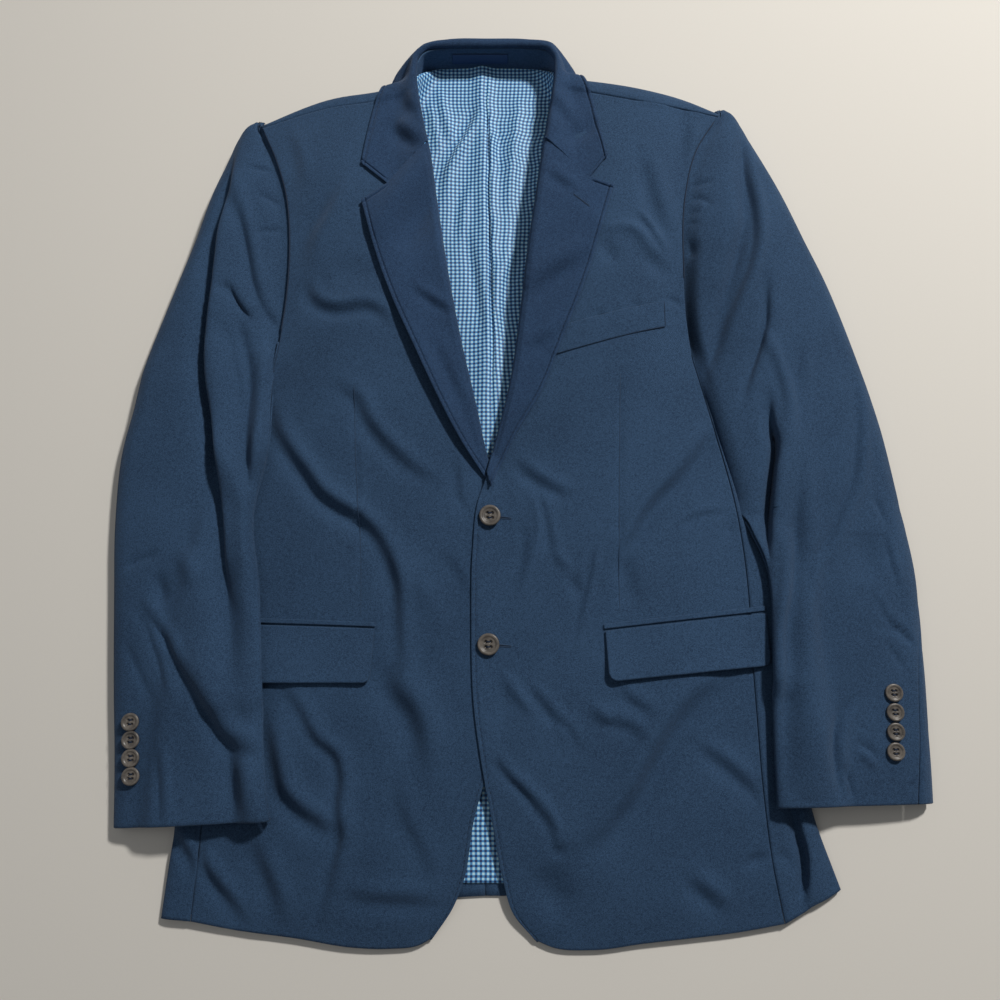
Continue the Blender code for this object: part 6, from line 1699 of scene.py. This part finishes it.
def build():
    """Makes the pieces from the floor up, because each lies on those before it."""
    for side in "lr":
        make_back(side)
    make_lining()
    for side in "lr":
        make_side(side)
    make_front("l")
    make_lapel("l")
    make_front("r")
    make_patch("chest_welt", CHEST_WELT, 14, 60, ["front_right", "side_right"], WELT_WALL, gap=0.0)
    make_lapel("r")
    make_collar()
    make_stand()
    make_label()
    for name, corners, rows, wall, corner, lifts in POCKETS:
        for side in "rl":
            ground = ["front_" + WORD[side], "side_" + WORD[side]]
            make_patch(name + WORD[side], corners[side], rows, FLAP_COLUMNS, ground, wall, corner,
                       lifts[side])
    for side in "lr":
        make_sleeve(side)
    make_threads()
    for prefix, spots, diameter, ground in (
            ("front_button", FRONT_BUTTONS, FRONT_BUTTON, "front_right"),
            ("cuff_button_left", LEFT_CUFF_BUTTONS, CUFF_BUTTON, "top_sleeve_left"),
            ("cuff_button_right", RIGHT_CUFF_BUTTONS, CUFF_BUTTON, "top_sleeve_right")):
        for number, spot in enumerate(spots, 1):
            make_button("%s_%d" % (prefix, number), spot, diameter, ground)


# Cloth: width and length in metres of what shows of each cut, flat, its area in square
# metres, and the nodes that it lies on.
Sheet = namedtuple("Sheet", "name width length area lies_on")


# ---------------------------------------------------------------- floor, light, camera

FLOOR_Z, FLOOR_HALF = -0.0005, 3.0      # metres
LENS, SENSOR = 34.2, 36.0               # mm; the lens is 950 of the picture's 1000 pixels long
CAMERA_PLACE = (-0.00965, -0.25695, 0.8393)
CAMERA_TILT = math.radians(14.0)


def linked(name, data):
    made = bpy.data.objects.new(name, data)
    bpy.context.scene.collection.objects.link(made)
    return made


def lamp(name, place, size, power, colour):
    """Round area light that looks at the middle of the garment."""
    light = bpy.data.lights.new(name, "AREA")
    light.shape = "DISK"
    light.size = size
    light.energy = power
    light.color = colour
    made = linked(name, light)
    made.location = place
    made.rotation_euler = (-Vector(place)).to_track_quat("-Z", "Y").to_euler()


def set_stage():
    mesh = bpy.data.meshes.new("floor")
    corners = [(x * FLOOR_HALF, y * FLOOR_HALF, FLOOR_Z) for x, y in ((-1, -1), (1, -1), (1, 1), (-1, 1))]
    mesh.from_pydata(corners, [], [(0, 1, 2, 3)])
    mesh.materials.append(plain_material("pale_floor", (0.735, 0.70, 0.64), 0.85, 900.0, 0.00003, 0.97))
    linked("floor", mesh)

    lamp("key", (1.216, 1.472, 1.952), 0.3, 64.0, (1.0, 0.985, 0.96))
    lamp("fill", (-0.9, -0.1, 1.9), 1.6, 3.0, (0.95, 0.975, 1.0))
    world = bpy.data.worlds.new("studio")
    bpy.context.scene.world = world
    world.use_nodes = True
    background = world.node_tree.nodes["Background"]
    background.inputs["Color"].default_value = (0.95, 0.97, 1.0, 1.0)
    background.inputs["Strength"].default_value = 0.14

    lens = bpy.data.cameras.new("camera")
    lens.sensor_width = SENSOR
    lens.lens = LENS
    lens.clip_start, lens.clip_end = 0.05, 20.0
    camera = linked("camera", lens)
    camera.location = CAMERA_PLACE
    camera.rotation_euler = (CAMERA_TILT, 0.0, 0.0)
    bpy.context.scene.camera = camera
    bpy.context.scene.view_settings.view_transform = "Standard"


build()
set_stage()
